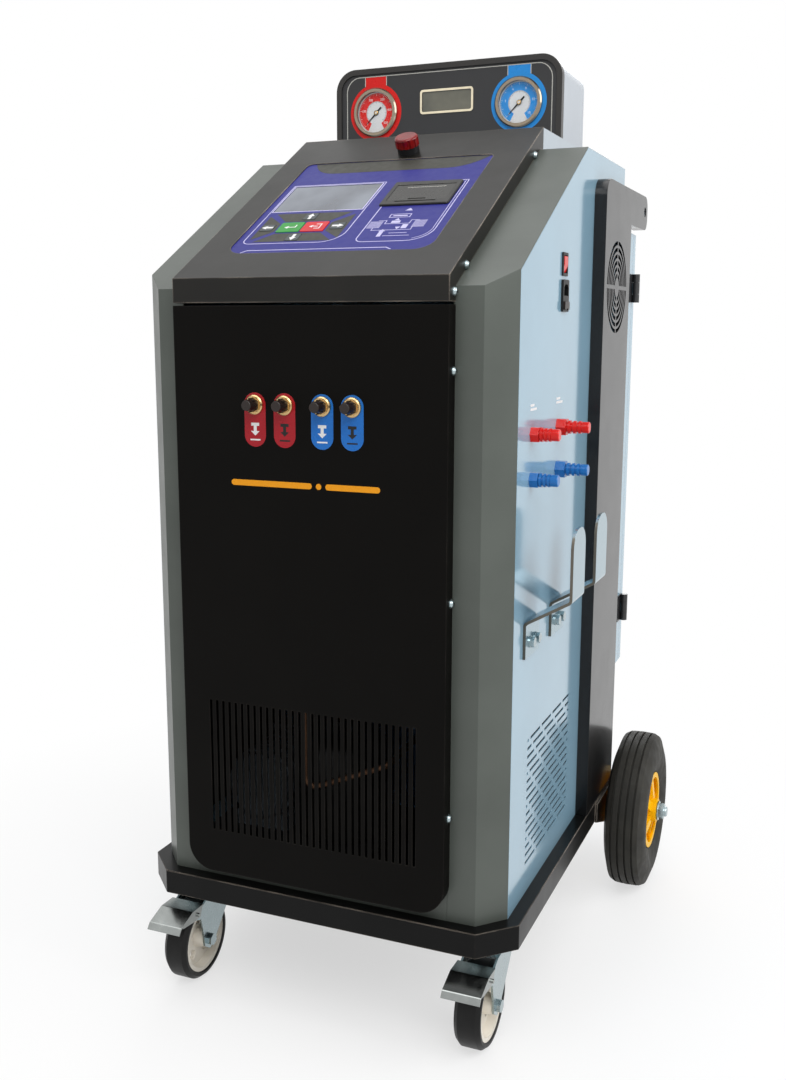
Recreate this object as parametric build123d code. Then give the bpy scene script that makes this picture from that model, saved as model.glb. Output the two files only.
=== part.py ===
from build123d import *
import os
from math import cos, radians, sin, tan

# Wheeled air conditioning recharge station. Millimetres. X is right, Y is back, Z is up.
# Inside the script y = 0 is the plane of the grey front strips and z = 0 is the floor.
# The last step moves everything along Y, so that the origin is under the middle of the whole machine.

# Cabinet
CAB_HALF = 270.0          # half the outer width of the cabinet
CAB_DEPTH = 626.0         # front strips to the back panel
CHAMFER_X = 34.6          # corner post bevel, measured across the front
CHAMFER_Y = 37.3          # the same bevel, measured along the side
SHEET = 1.5               # steel sheet of every cover
FRONT_TOP_Z = 1042.0      # where the front strips meet the slope
TOP_Z = 1251.0            # flat top of the cabinet
SLOPE_DEG = 29.8          # slope of the control face

# Base tray
CASTER_R = 62.0
CASTER_HEAD = 35.0        # height of the swivel head over the top of the caster wheel
TRAY_DEPTH = 36.0         # height of the folded edge
TRAY_LIP = 19.5           # how far the tray stands out beyond the cabinet
TRAY_TAIL = 14.0          # how far the tray stands out behind the back panel
TRAY_CHAMFER = 47.0
TRAY_WALL = 2.5
RAIL_WIDTH = 84.0         # cross rails that stiffen the tray and carry the casters
RAIL_WALL = 3.0
RAIL_GAP = 2.0            # rear rail in front of the axle line

# Front panel and control hood stand proud of the strips
PANEL_HALF = 198.0
PANEL_PROUD = 22.5
PANEL_RAISE = 17.0        # lower edge of the front panel over the tray
PANEL_CORNER_R = 38.0
HOOD_SKIRT = 19.5         # lower edge of the hood under the foot of the slope
HOOD_SEAM = 3.5           # gap between the hood and the front panel
HOOD_TAIL = 15.0          # how far the hood reaches over the flat top
HOOD_SEAT = 0.3           # gap between the hood and the sheets it covers
RETURN_DEPTH = 16.0       # inner return of the posts that the covers screw to

# Ventilation
SLOT_PITCH = 10.0
SLOT_WIDTH = 4.0
SLOT_COUNT = 32
SLOT_BOTTOM = 277.0
SLOT_TOP = 472.0
VENT_ROWS = 16
VENT_Z0 = 241.0
VENT_Z1 = 424.0
VENT_Y0 = 116.0
VENT_Y1 = 347.0
VENT_LENGTH = 50.0
VENT_GAP = 9.0
VENT_HEIGHT = 4.4

# Hose ports on the front panel
PORT_X = (-75.0, -31.0, 24.0, 67.0)
PORT_DROP = 129.0         # port centres under the upper edge of the front panel
PORT_FLANGE_R = 13.0
PORT_FLANGE_T = 5.0
PORT_SHANK_R = 8.5
PORT_CAP_R = 8.5
PORT_CAP_LENGTH = 17.0
PORT_CLEARANCE = 0.3

# Control face, measured in the hood plane: x across and s up the slope from the front edge
FACE_X = -2.0
FACE_HALF = 150.0
FACE_S0 = 70.0
FACE_S1 = 370.0
FACE_R_LOW = 26.0
FACE_R_TOP = 9.0
OVERLAY_T = 2.5
OVERLAY_EDGE = 7.0        # overlay tucked under the edge of the hood opening
LCD_X = -67.5
LCD_S = 244.0
LCD_WIDTH = 141.0
LCD_HEIGHT = 86.0
KEY_GAP = 0.3
KEY_PROUD = 0.9
KEY_TRAVEL = 0.6
KEY_BIG = (36.0, 30.0)
KEY_ARROW = 19.0
ENTER_AT = (-86.0, 148.5)
EXIT_AT = (-48.5, 148.5)
UP_AT = (-68.0, 181.0)
DOWN_AT = (-68.0, 116.5)
LEFT_AT = (-122.0, 148.5)
RIGHT_AT = (-13.0, 148.5)
BOARD_GAP = 0.5           # air under the keys beyond their travel
BOARD_T = 1.6
PRINTER_X = 77.5
PRINTER_S = 244.0
PRINTER_WIDTH = 103.0
PRINTER_HEIGHT = 76.0
PRINTER_DEPTH = 44.0
PRINTER_PROUD = 3.0
LID_WIDTH = 88.0
LID_HEIGHT = 50.0
LID_T = 2.6
LID_ROOM = 3.0            # depth of the lid's pocket
LID_GAP = 0.4
LID_PIN_R = 1.0
LID_PIN_CLEARANCE = 0.05
PAPER_R = 17.0
PAPER_WIDTH = 57.0

# Alarm lamp on the hood
LAMP_X = 5.0
LAMP_S = 396.0
LAMP_BASE_R = 16.5
LAMP_BASE_H = 10.0
LAMP_R = 18.0
LAMP_H = 15.0
LAMP_FLUTES = 12

# Gauge pod
POD_HALF = 195.0
POD_DEPTH = 142.0
POD_OVERHANG = 6.0        # how far the pod reaches behind the back panel
PLINTH_HEIGHT = 33.0
PLINTH_INSET = 4.0        # plinth in front of the back panel
POD_HEIGHT = 130.0
POD_CORNER_R = 35.0
POD_WALL = 3.0
POD_RIM = 9.0             # black rim round the sunk face
POD_FACE_SUNK = 3.0
POD_FACE_T = 3.0
GAUGE_X = 124.0
GAUGE_RISE = 60.0         # gauge centres over the underside of the pod
GAUGE_BEZEL_R = 39.0
GAUGE_BARREL_R = 36.0
GAUGE_DIAL_R = 33.5
GAUGE_PROUD = 7.0
GAUGE_BARREL_DEPTH = 30.0
GAUGE_SPINDLE_R = 1.5
NEEDLE_ZERO_DEG = 225.0   # the zero mark, counted anticlockwise from three o'clock
NEEDLE_TIP = 25.0
NEEDLE_TAIL = 12.0
DISPLAY_X = 1.5
DISPLAY_RISE = 71.0
DISPLAY_WIDTH = 92.0
DISPLAY_HEIGHT = 38.0

# Right side panel fittings
ROCKER_Y = 245.0
ROCKER_Z = 1078.0
ROCKER_BEZEL = (27.0, 32.0)
ROCKER_BODY = (21.0, 26.0)
ROCKER_PROUD = 2.5
ROCKER_TILT_DEG = 9.0
ROCKER_PIN_R = 1.5
INLET_Y = 247.0
INLET_Z = 1035.0
INLET_WIDTH = 31.0
INLET_HEIGHT = 44.0
INLET_PROUD = 3.5
INLET_DEPTH = 26.0
DRAWER_HEIGHT = 11.0
COUPLER_Y = (101.0, 233.0)
COUPLER_RED_Z = 853.0
COUPLER_BLUE_Z = 793.0
COUPLER_LENGTH = (38.0, 46.0)
COUPLER_BASE_R = (11.0, 13.0)
COUPLER_TIP_R = 8.0
COUPLER_TIP_LENGTH = 10.0

# Hose hooks
HOOK_Y = (81.0, 213.0)
HOOK_WIDTH = 65.0
HOOK_T = 4.0
HOOK_LEG_Z = (551.0, 600.0)
HOOK_OUT = 64.0           # middle of the upright arm, out from the side panel
HOOK_UP_Z = (635.0, 731.0)
HOOK_BOLT_Z = 571.0
HOOK_BOLT_R = 4.0
HOOK_BOLT_INSET = (22.0, 48.0)

# Rear columns, fan and push handle
COLUMN_OUT = 19.0
COLUMN_WIDTH = 187.0
COLUMN_INSET = 24.0       # column in front of the back panel
COLUMN_DROP = 37.0        # top of the column under the cabinet top
COLUMN_TOP_R = 28.0
EAR_HEIGHT = 56.0
EAR_R = 20.0
EAR_ROUND = 21.0          # back edge of the ear behind the middle of the handle
HANDLE_BEHIND = 88.0      # middle of the handle behind the back panel
HANDLE_DROP = 26.0        # middle of the handle under the top of the ear
HANDLE_R = 14.0
HANDLE_WALL = 2.0
FAN_INSET = 90.0          # fan axis behind the front edge of the column
FAN_DROP = 160.0          # fan axis under the top of the column
FAN_GUARD_R = 71.5
FAN_RING_PITCH = 10.0
FAN_RING_GAP = 6.0
FAN_RINGS = 6
FAN_SPOKE = 6.0
FAN_SIZE = 150.0
FAN_DEPTH = 38.0
FAN_BORE_R = 70.0
FAN_BLADE_R = 67.5
FAN_HUB_R = 27.0
FAN_BLADES = 7
FAN_PIN_R = 4.0

# Rear housing and door
HOUSING_DEPTH = 64.0
HOUSING_OUT = 5.5         # housing wider than the cabinet on each side
HOUSING_BOTTOM = 388.0
HOUSING_TOP = 1150.0
DOOR_DEPTH = 24.0
DOOR_GAP = 0.8
DOOR_PIN_R = 4.0
DOOR_KNUCKLE_R = 6.5
DOOR_PIN_OUT = DOOR_KNUCKLE_R + 0.6   # hinge pin axis beyond the side of the housing
HINGE_FROM_END = (102.0, 92.0)        # hinges from the lower and upper end of the door
HINGE_LENGTH = 48.0
KNUCKLE_LENGTH = 14.0
KNUCKLE_GAP = 0.4
LEAF_T = 2.0
LEAF_WIDTH = 26.0
HATCH_MARGIN = (60.5, 42.0, 50.0)     # beside, under and over the hatch

# Rear wheels
AXLE_INSET = 16.3         # axle in front of the tray's rear edge
TYRE_R = 136.4
TYRE_WIDTH = 72.0
TYRE_OUT = 62.7           # middle of the tyre beyond the side of the cabinet
RIM_R = 66.0
RIM_WIDTH = 52.0
RIM_SPOKES = 5
HUB_R = 21.0
HUB_WIDTH = 76.0
AXLE_R = 10.0
AXLE_CLEARANCE = 0.05
AXLE_ROOM = 2.0           # between the axle and the tray
AXLE_END = 17.3           # end of the dome nut beyond the hub
BRACKET_T = 4.0
PLATE_FRONT = 146.7       # axle plate in front of the axle
PLATE_DROP = 3.0          # upper edge of the axle plate under the tray top
PLATE_TAIL = 8.0
PLATE_HALF = 22.0         # half the lower edge of the axle plate
PLATE_FOOT = 24.0         # lower edge under the axle
PLATE_BORE_GAP = 0.1

# Front casters
CASTER_INSET = 38.0       # caster inside the side of the cabinet
CASTER_TRAIL = 38.0       # wheel axle in front of the swivel
CASTER_WIDTH = 38.0
CASTER_TREAD = 11.0       # thickness of the caster's rubber
CASTER_SWIVEL_Y = 77.0
CASTER_PLATE = (104.0, 80.0)
CASTER_PLATE_T = 4.0
CASTER_PLATE_HOLES = (80.0, 60.0)
CASTER_HOLE_R = 4.5
FORK_INNER = 22.0
FORK_T = 3.0
FORK_CROWN_DROP = 29.5    # underside of the fork's crown below the tray
RACE_R = 30.0
RACE_H = 5.0
RACE_FLARE = 3.0
KING_PIN_R = 5.0
KING_PIN_GAP = 0.1
KING_PIN_LENGTH = 28.0
RACE_GAP = 0.3
CASTER_BOLT_R = 6.0
PEDAL_HALF = 27.5
PEDAL_T = 2.0
PEDAL_REACH = 73.0        # pedal pivot in front of the swivel
PEDAL_DROP = 10.5         # pedal pivot under the crown
PEDAL_PIN_R = 3.0
PEDAL_LENGTH = 54.0
PEDAL_FALL = 2.0          # tip of the pedal under its pivot

# Inside
TANK_FROM_BACK = 174.0
TANK_R = 118.0
TANK_HEIGHT = 430.0
SCALE_HEIGHT = 24.0
COMPRESSOR_X = -45.0
COMPRESSOR_FROM_TANK = 274.0
COMPRESSOR_R = 72.0
PUMP_AT = (-185.0, 230.0)
CONDENSER_INSET = (62.0, 20.0)        # inner and outer face inside the cabinet
CONDENSER_Y = (120.0, 344.0)
CONDENSER_HEIGHT = 236.0
CONDENSER_FINS = 16
MANIFOLD_Y = (12.0, 42.0)
MANIFOLD_HALF_HEIGHT = 18.0
PIPE_R = 4.8

# Values that follow from the ones above
TRAY_BOTTOM = 2 * CASTER_R + CASTER_HEAD
TRAY_TOP = TRAY_BOTTOM + TRAY_DEPTH
TRAY_BACK = CAB_DEPTH + TRAY_TAIL
PANEL_BOTTOM = TRAY_TOP + PANEL_RAISE
HOOD_LIP_Z = FRONT_TOP_Z - HOOD_SKIRT
PANEL_TOP = HOOD_LIP_Z - HOOD_SEAM
PORT_Z = PANEL_TOP - PORT_DROP
MANIFOLD_Z = (PORT_Z - MANIFOLD_HALF_HEIGHT, PORT_Z + MANIFOLD_HALF_HEIGHT)
POD_BACK_Y = CAB_DEPTH + POD_OVERHANG
POD_FRONT_Y = POD_BACK_Y - POD_DEPTH
POD_BOTTOM_Z = TOP_Z + PLINTH_HEIGHT
POD_TOP_Z = POD_BOTTOM_Z + POD_HEIGHT
GAUGE_Z = POD_BOTTOM_Z + GAUGE_RISE
DISPLAY_Z = POD_BOTTOM_Z + DISPLAY_RISE
HOOK_OUT_X = CAB_HALF + HOOK_OUT
COLUMN_Y = (CAB_DEPTH - COLUMN_INSET - COLUMN_WIDTH, CAB_DEPTH - COLUMN_INSET)
COLUMN_TOP = TOP_Z - COLUMN_DROP
HANDLE_Y = CAB_DEPTH + HANDLE_BEHIND
HANDLE_Z = COLUMN_TOP - HANDLE_DROP
EAR_BACK_Y = HANDLE_Y + EAR_ROUND
EAR_BOTTOM_Z = COLUMN_TOP - EAR_HEIGHT
FAN_Y = COLUMN_Y[0] + FAN_INSET
FAN_Z = COLUMN_TOP - FAN_DROP
HOUSING_BACK_Y = CAB_DEPTH + HOUSING_DEPTH
HOUSING_HALF = CAB_HALF + HOUSING_OUT
DOOR_HINGE_Z = (HOUSING_BOTTOM + HINGE_FROM_END[0], HOUSING_TOP - HINGE_FROM_END[1])
HATCH_HALF = HOUSING_HALF - HATCH_MARGIN[0]
HATCH_Z = (HOUSING_BOTTOM + HATCH_MARGIN[1], HOUSING_TOP - HATCH_MARGIN[2])
REAR_AXLE_Y = TRAY_BACK - AXLE_INSET
TYRE_X = CAB_HALF + TYRE_OUT
AXLE_END_X = TYRE_X + HUB_WIDTH / 2 + AXLE_END
CASTER_X = CAB_HALF - CASTER_INSET
CASTER_RIM_R = CASTER_R - CASTER_TREAD
CASTER_AXLE_Y = CASTER_SWIVEL_Y - CASTER_TRAIL
FORK_CROWN_Z = TRAY_BOTTOM - FORK_CROWN_DROP
RACE_STACK = FORK_CROWN_DROP + 1      # from just under the crown up to the tray
PEDAL_PIVOT_Y = CASTER_SWIVEL_Y - PEDAL_REACH
PEDAL_PIVOT_Z = FORK_CROWN_Z - PEDAL_DROP
PEDAL_TIP_Y = PEDAL_PIVOT_Y - PEDAL_LENGTH
PEDAL_TIP_Z = PEDAL_PIVOT_Z - PEDAL_FALL
TANK_Y = CAB_DEPTH - TANK_FROM_BACK
COMPRESSOR_AT = (COMPRESSOR_X, TANK_Y - COMPRESSOR_FROM_TANK)
CONDENSER_X = (CAB_HALF - CONDENSER_INSET[0], CAB_HALF - CONDENSER_INSET[1])
SLOPE = radians(SLOPE_DEG)
SLOPE_DROP = SHEET / cos(SLOPE)
SLOPE_TOP_Y = (TOP_Z - FRONT_TOP_Z) / tan(SLOPE)
HOOD_BACK_Y = SLOPE_TOP_Y + HOOD_TAIL
HOOD_FRONT_Z = FRONT_TOP_Z + PANEL_PROUD * (1 - sin(SLOPE)) / cos(SLOPE)
HOOD_PLANE = Plane(
    origin=(0, -PANEL_PROUD, HOOD_FRONT_Z),
    x_dir=(1, 0, 0),
    z_dir=(0, -sin(SLOPE), cos(SLOPE)),
)
POD_PLANE = Plane(origin=(0, POD_FRONT_Y, 0), x_dir=(1, 0, 0), z_dir=(0, -1, 0))
SIDE_PLANE = Plane(origin=(CAB_HALF, 0, 0), x_dir=(0, 1, 0), z_dir=(1, 0, 0))
STRIP_INNER = PANEL_HALF - 2 * SHEET
KEYS = {
    "key_enter": (ENTER_AT, KEY_BIG),
    "key_exit": (EXIT_AT, KEY_BIG),
    "key_up": (UP_AT, (KEY_ARROW, KEY_ARROW)),
    "key_down": (DOWN_AT, (KEY_ARROW, KEY_ARROW)),
    "key_left": (LEFT_AT, (KEY_ARROW, KEY_ARROW)),
    "key_right": (RIGHT_AT, (KEY_ARROW, KEY_ARROW)),
}


def slope_z(y):
    """Height of the grey slope at depth y."""
    return FRONT_TOP_Z + y * tan(SLOPE)


def block(x0, x1, y0, y1, z0, z1):
    """Box between two corners."""
    return Pos((x0 + x1) / 2, (y0 + y1) / 2, (z0 + z1) / 2) * Box(x1 - x0, y1 - y0, z1 - z0)


def side_prism(points, x0, x1):
    """Outline of (y, z) points, extruded across the machine."""
    outline = Polyline(*[(x0, y, z) for y, z in points], close=True)
    return extrude(make_face(outline), amount=x1 - x0, dir=(1, 0, 0))


def plan_face(points, z):
    """Outline of (x, y) points at height z."""
    return make_face(Polyline(*[(x, y, z) for x, y in points], close=True))


def rod(start, direction, radius, length):
    """Cylinder from a start point along a direction."""
    return Plane(origin=start, z_dir=direction) * Pos(0, 0, length / 2) * Cylinder(radius, length)


def tube(points, radius, bend):
    """Round pipe through points, with equal bends."""
    path = FilletPolyline(*points, radius=bend)
    start = Plane(origin=points[0], z_dir=path % 0)
    return sweep(start * Circle(radius), path=path)


def ring_of(shape, axis, count):
    """Copies of a shape turned evenly about an axis."""
    return [shape.rotate(axis, 360 / count * i) for i in range(count)]


def mirrored(shape):
    """The same shape on the other side of the machine."""
    return mirror(shape, about=Plane.YZ)


def group(*shapes):
    """Separate solids that share one node."""
    return Compound([solid for shape in shapes for solid in shape.solids()])


def cabinet_plan():
    """Outline of the cabinet seen from above, with bevelled front corners."""
    front = CAB_HALF - CHAMFER_X
    points = [
        (-CAB_HALF, CAB_DEPTH),
        (-CAB_HALF, CHAMFER_Y),
        (-front, 0),
        (front, 0),
        (CAB_HALF, CHAMFER_Y),
        (CAB_HALF, CAB_DEPTH),
    ]
    return plan_face(points, TRAY_TOP)


def cabinet_block(inset):
    """The cabinet as a solid, each wall moved in by inset."""
    plan = cabinet_plan()
    if inset > 0:
        plan = offset(plan, amount=-inset, kind=Kind.INTERSECTION)
    drop = inset / cos(SLOPE)
    above = [
        (-60, slope_z(-60) - drop),
        (CAB_DEPTH, slope_z(CAB_DEPTH) - drop),
        (CAB_DEPTH, TOP_Z + 400),
        (-60, TOP_Z + 400),
    ]
    solid = extrude(plan, amount=TOP_Z - TRAY_TOP - inset, dir=(0, 0, 1))
    return solid - side_prism(above, -CAB_HALF - 1, CAB_HALF + 1)


def corner_posts():
    """Two folded posts: front strip, bevel, sloped strip and the inner return."""
    shell = cabinet_block(0) - cabinet_block(SHEET)
    zone = [
        (-1, TRAY_TOP),
        (CHAMFER_Y, TRAY_TOP),
        (CHAMFER_Y, slope_z(CHAMFER_Y) - SLOPE_DROP),
        (SLOPE_TOP_Y, slope_z(SLOPE_TOP_Y) - SLOPE_DROP),
        (SLOPE_TOP_Y, TOP_Z + 1),
        (-1, TOP_Z + 1),
    ]
    post = shell & side_prism(zone, STRIP_INNER, CAB_HALF)
    returns = block(
        STRIP_INNER, STRIP_INNER + SHEET, -RETURN_DEPTH, 0, PANEL_BOTTOM + PANEL_CORNER_R + 5, PANEL_TOP - 8
    )
    rise = RETURN_DEPTH / cos(SLOPE)
    hood_return = [
        (20, slope_z(20)),
        (SLOPE_TOP_Y - 20, slope_z(SLOPE_TOP_Y - 20)),
        (SLOPE_TOP_Y - 20, slope_z(SLOPE_TOP_Y - 20) + rise),
        (20, slope_z(20) + rise),
    ]
    post = post + returns + side_prism(hood_return, STRIP_INNER, STRIP_INNER + SHEET)
    return group(post, mirrored(post))


def vent_slots(x0, x1):
    """Staggered rows of short slots, cut through a side panel."""
    pitch = (VENT_Z1 - VENT_Z0) / (VENT_ROWS - 1)
    step = VENT_LENGTH + VENT_GAP
    slots = []
    for row in range(VENT_ROWS):
        z = VENT_Z0 + row * pitch
        start = VENT_Y0 - (row % 4) * step / 4
        while start < VENT_Y1 - 8:
            y0 = max(start, VENT_Y0)
            y1 = min(start + VENT_LENGTH, VENT_Y1)
            if y1 - y0 > 5:
                slots.append(block(x0, x1, y0, y1, z - VENT_HEIGHT / 2, z + VENT_HEIGHT / 2))
            start += step
    return slots


def side_panel():
    """Flat side cover, cut along the slope and vented low down."""
    top = TOP_Z - SHEET
    slope_meets_top = (top + SLOPE_DROP - FRONT_TOP_Z) / tan(SLOPE)
    outline = [
        (CHAMFER_Y, TRAY_TOP),
        (CAB_DEPTH, TRAY_TOP),
        (CAB_DEPTH, top),
        (slope_meets_top, top),
        (CHAMFER_Y, slope_z(CHAMFER_Y) - SLOPE_DROP),
    ]
    x0 = CAB_HALF - SHEET
    return side_prism(outline, x0, CAB_HALF) - vent_slots(x0 - 1, CAB_HALF + 1)


def side_panel_right():
    """The side cover with the holes for the switch, the inlet, the couplers, the hooks and the fan."""
    depth = 4 * SHEET
    panel = side_panel()
    holes = [
        SIDE_PLANE * Pos(ROCKER_Y, ROCKER_Z) * Box(ROCKER_BODY[0] + 2, ROCKER_BODY[1] + 2, depth),
        SIDE_PLANE * Pos(INLET_Y, INLET_Z) * Box(INLET_WIDTH - 3, INLET_HEIGHT - 3, depth),
        SIDE_PLANE * Pos(FAN_Y, FAN_Z) * Cylinder(FAN_GUARD_R, depth),
    ]
    for y in COUPLER_Y:
        for z in (COUPLER_RED_Z, COUPLER_BLUE_Z):
            holes.append(SIDE_PLANE * Pos(y, z) * Cylinder(COUPLER_TIP_R - 1, depth))
    for y in hook_bolt_places():
        holes.append(SIDE_PLANE * Pos(y, HOOK_BOLT_Z) * Cylinder(HOOK_BOLT_R + 0.3, depth))
    return panel - holes


def top_cover():
    """Flat top sheet with the hollow plinth that the gauge pod stands on."""
    sheet = block(-CAB_HALF, CAB_HALF, SLOPE_TOP_Y, CAB_DEPTH, TOP_Z - SHEET, TOP_Z)
    back = CAB_DEPTH - PLINTH_INSET
    plinth = block(-PANEL_HALF, PANEL_HALF, HOOD_BACK_Y, back, TOP_Z, POD_BOTTOM_Z)
    room = block(
        -PANEL_HALF + SHEET,
        PANEL_HALF - SHEET,
        HOOD_BACK_Y + SHEET,
        back - SHEET,
        TOP_Z - SHEET,
        POD_BOTTOM_Z - SHEET,
    )
    return sheet + plinth - room


def front_panel():
    """Deep black cover with rounded bottom corners, ventilation slots and four port holes."""
    height = PANEL_TOP - PANEL_BOTTOM
    outline = Pos(0, (PANEL_TOP + PANEL_BOTTOM) / 2) * Rectangle(2 * PANEL_HALF, height)
    low_corners = outline.vertices().sort_by(Axis.Y)[:2]
    outline = fillet(low_corners, PANEL_CORNER_R)
    inner = offset(outline, amount=-SHEET, kind=Kind.INTERSECTION)
    pan = extrude(Plane.XZ * outline, amount=PANEL_PROUD)
    pan = pan - extrude(Plane.XZ * inner, amount=PANEL_PROUD - SHEET)
    first = -SLOT_PITCH * (SLOT_COUNT - 1) / 2
    cuts = []
    for i in range(SLOT_COUNT):
        x = first + i * SLOT_PITCH
        cuts.append(
            block(
                x - SLOT_WIDTH / 2,
                x + SLOT_WIDTH / 2,
                -PANEL_PROUD - 1,
                -PANEL_PROUD + 3,
                SLOT_BOTTOM,
                SLOT_TOP,
            )
        )
    for x in PORT_X:
        cuts.append(rod((x, -PANEL_PROUD - 1, PORT_Z), (0, 1, 0), PORT_SHANK_R + PORT_CLEARANCE, 4))
    return pan - cuts


def face_outline(grow):
    """Outline of the sunk control face, larger by grow on every side."""
    height = FACE_S1 - FACE_S0 + 2 * grow
    face = Pos(FACE_X, (FACE_S0 + FACE_S1) / 2) * Rectangle(2 * (FACE_HALF + grow), height)
    by_height = face.vertices().sort_by(Axis.Y)
    face = fillet(by_height[:2], FACE_R_LOW + grow)
    return fillet(face.vertices().sort_by(Axis.Y)[-2:], FACE_R_TOP + grow)


def control_hood():
    """Sloped black cover, open underneath, with the opening for the control face."""
    back_z = HOOD_FRONT_Z + (HOOD_BACK_Y + PANEL_PROUD) * tan(SLOPE)
    outer = [
        (-PANEL_PROUD, HOOD_LIP_Z),
        (-PANEL_PROUD, HOOD_FRONT_Z),
        (HOOD_BACK_Y, back_z),
        (HOOD_BACK_Y, TOP_Z + HOOD_SEAT),
        (SLOPE_TOP_Y, TOP_Z + HOOD_SEAT),
        (0, FRONT_TOP_Z + HOOD_SEAT),
        (0, HOOD_LIP_Z),
    ]
    face_drop = SHEET * (1 - sin(SLOPE)) / cos(SLOPE)
    front = -PANEL_PROUD + SHEET
    back = HOOD_BACK_Y - SHEET
    room = [
        (front, HOOD_LIP_Z - 1),
        (front, HOOD_FRONT_Z - face_drop),
        (back, HOOD_FRONT_Z - face_drop + (back - front) * tan(SLOPE)),
        (back, TOP_Z - 1),
        (SLOPE_TOP_Y, TOP_Z - 1),
        (1, FRONT_TOP_Z - 3),
        (1, HOOD_LIP_Z - 1),
    ]
    hood = side_prism(outer, -PANEL_HALF, PANEL_HALF)
    hood = hood - side_prism(room, -PANEL_HALF + SHEET, PANEL_HALF - SHEET)
    opening = HOOD_PLANE * Pos(0, 0, -3) * extrude(face_outline(0), amount=6)
    return hood - opening


def keypad_overlay():
    """Blue face plate under the hood opening, with windows for the display, printer and keys."""
    plate = extrude(face_outline(OVERLAY_EDGE), amount=OVERLAY_T)
    windows = [
        Pos(LCD_X, LCD_S, OVERLAY_T / 2) * Box(LCD_WIDTH, LCD_HEIGHT, 3 * OVERLAY_T),
        Pos(PRINTER_X, PRINTER_S, OVERLAY_T / 2)
        * Box(PRINTER_WIDTH - 8, PRINTER_HEIGHT - 8, 3 * OVERLAY_T),
    ]
    for place, size in KEYS.values():
        windows.append(
            Pos(place[0], place[1], OVERLAY_T / 2)
            * Box(size[0] + 2 * KEY_GAP, size[1] + 2 * KEY_GAP, 3 * OVERLAY_T)
        )
    return HOOD_PLANE * Pos(0, 0, -SHEET - OVERLAY_T) * (plate - windows)


def key_cap(name):
    """One key with softly rounded corners, standing in its window of the overlay."""
    place, size = KEYS[name]
    height = OVERLAY_T + KEY_PROUD
    shape = extrude(RectangleRounded(size[0], size[1], 3.0), amount=height)
    shape = chamfer(shape.faces().sort_by(Axis.Z)[-1].edges(), 0.5)
    return HOOD_PLANE * Pos(place[0], place[1], -SHEET - OVERLAY_T) * shape


def control_board():
    """Circuit board under the keys, with the display module that fills the overlay window."""
    under = -SHEET - OVERLAY_T - KEY_TRAVEL - BOARD_GAP
    left = FACE_X - FACE_HALF + OVERLAY_EDGE
    right = PRINTER_X - PRINTER_WIDTH / 2 - 2
    width = right - left
    x = (left + right) / 2
    board = Pos(x, (FACE_S0 + FACE_S1) / 2, under - BOARD_T / 2) * Box(
        width, FACE_S1 - FACE_S0 - 30, BOARD_T
    )
    glass = OVERLAY_T - 0.6
    display = Pos(LCD_X, LCD_S, -SHEET - OVERLAY_T + glass / 2) * Box(
        LCD_WIDTH - 2 * KEY_GAP, LCD_HEIGHT - 2 * KEY_GAP, glass
    )
    back = Pos(LCD_X, LCD_S, (under - SHEET - OVERLAY_T) / 2) * Box(
        LCD_WIDTH - 2, LCD_HEIGHT - 2, KEY_TRAVEL + BOARD_GAP
    )
    posts = []
    for dx in (-1, 1):
        for s in (FACE_S0 + 24, FACE_S1 - 24):
            post_x = x + dx * (width / 2 - 6)
            middle = (under - SHEET - OVERLAY_T) / 2
            posts.append(Pos(post_x, s, middle) * Cylinder(3, KEY_TRAVEL + BOARD_GAP))
    return group(HOOD_PLANE * (board + display + back + posts))


def printer_body():
    """Receipt printer: frame over the overlay, case underneath, and the paper roll in its bay."""
    under = -SHEET - OVERLAY_T
    frame_top = -SHEET + PRINTER_PROUD
    frame = extrude(RectangleRounded(PRINTER_WIDTH, PRINTER_HEIGHT, 4), amount=PRINTER_PROUD)
    frame = Pos(PRINTER_X, PRINTER_S, -SHEET) * chamfer(frame.faces().sort_by(Axis.Z)[-1].edges(), 1.2)
    case_size = (PRINTER_WIDTH - 9, PRINTER_HEIGHT - 9)
    case_height = PRINTER_DEPTH + OVERLAY_T
    case = Pos(PRINTER_X, PRINTER_S, -SHEET - case_height / 2) * Box(*case_size, case_height)
    bay_height = PRINTER_DEPTH - 4
    bay_top = frame_top - LID_ROOM
    bay = Pos(PRINTER_X, PRINTER_S, bay_top - bay_height / 2) * Box(
        PAPER_WIDTH + 2, 2 * PAPER_R + 2, bay_height
    )
    lid_seat = Pos(PRINTER_X, PRINTER_S, frame_top - LID_ROOM / 2) * Box(
        LID_WIDTH + 2 * LID_GAP, LID_HEIGHT + 2 * LID_GAP, LID_ROOM
    )
    roll_z = bay_top - bay_height + PAPER_R
    bore = Rot(0, 90, 0) * Cylinder(LID_PIN_R + LID_PIN_CLEARANCE, LID_WIDTH + 8)
    pin_hole = lid_hinge() * bore
    slot = Pos(PRINTER_X, PRINTER_S - LID_HEIGHT / 2 - 4, frame_top) * Box(PAPER_WIDTH + 4, 2.4, 14)
    roll = Pos(PRINTER_X, PRINTER_S, roll_z) * Rot(0, 90, 0) * Cylinder(PAPER_R, PAPER_WIDTH)
    body = frame + case - bay - lid_seat - pin_hole - slot
    return group(HOOD_PLANE * body, HOOD_PLANE * roll)


def lid_hinge():
    """Place of the lid's hinge axis, in the hood plane."""
    z = PRINTER_PROUD - SHEET - LID_ROOM + LID_T / 2 + 0.1
    return Pos(PRINTER_X, PRINTER_S + LID_HEIGHT / 2 - LID_T / 2, z)


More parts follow.
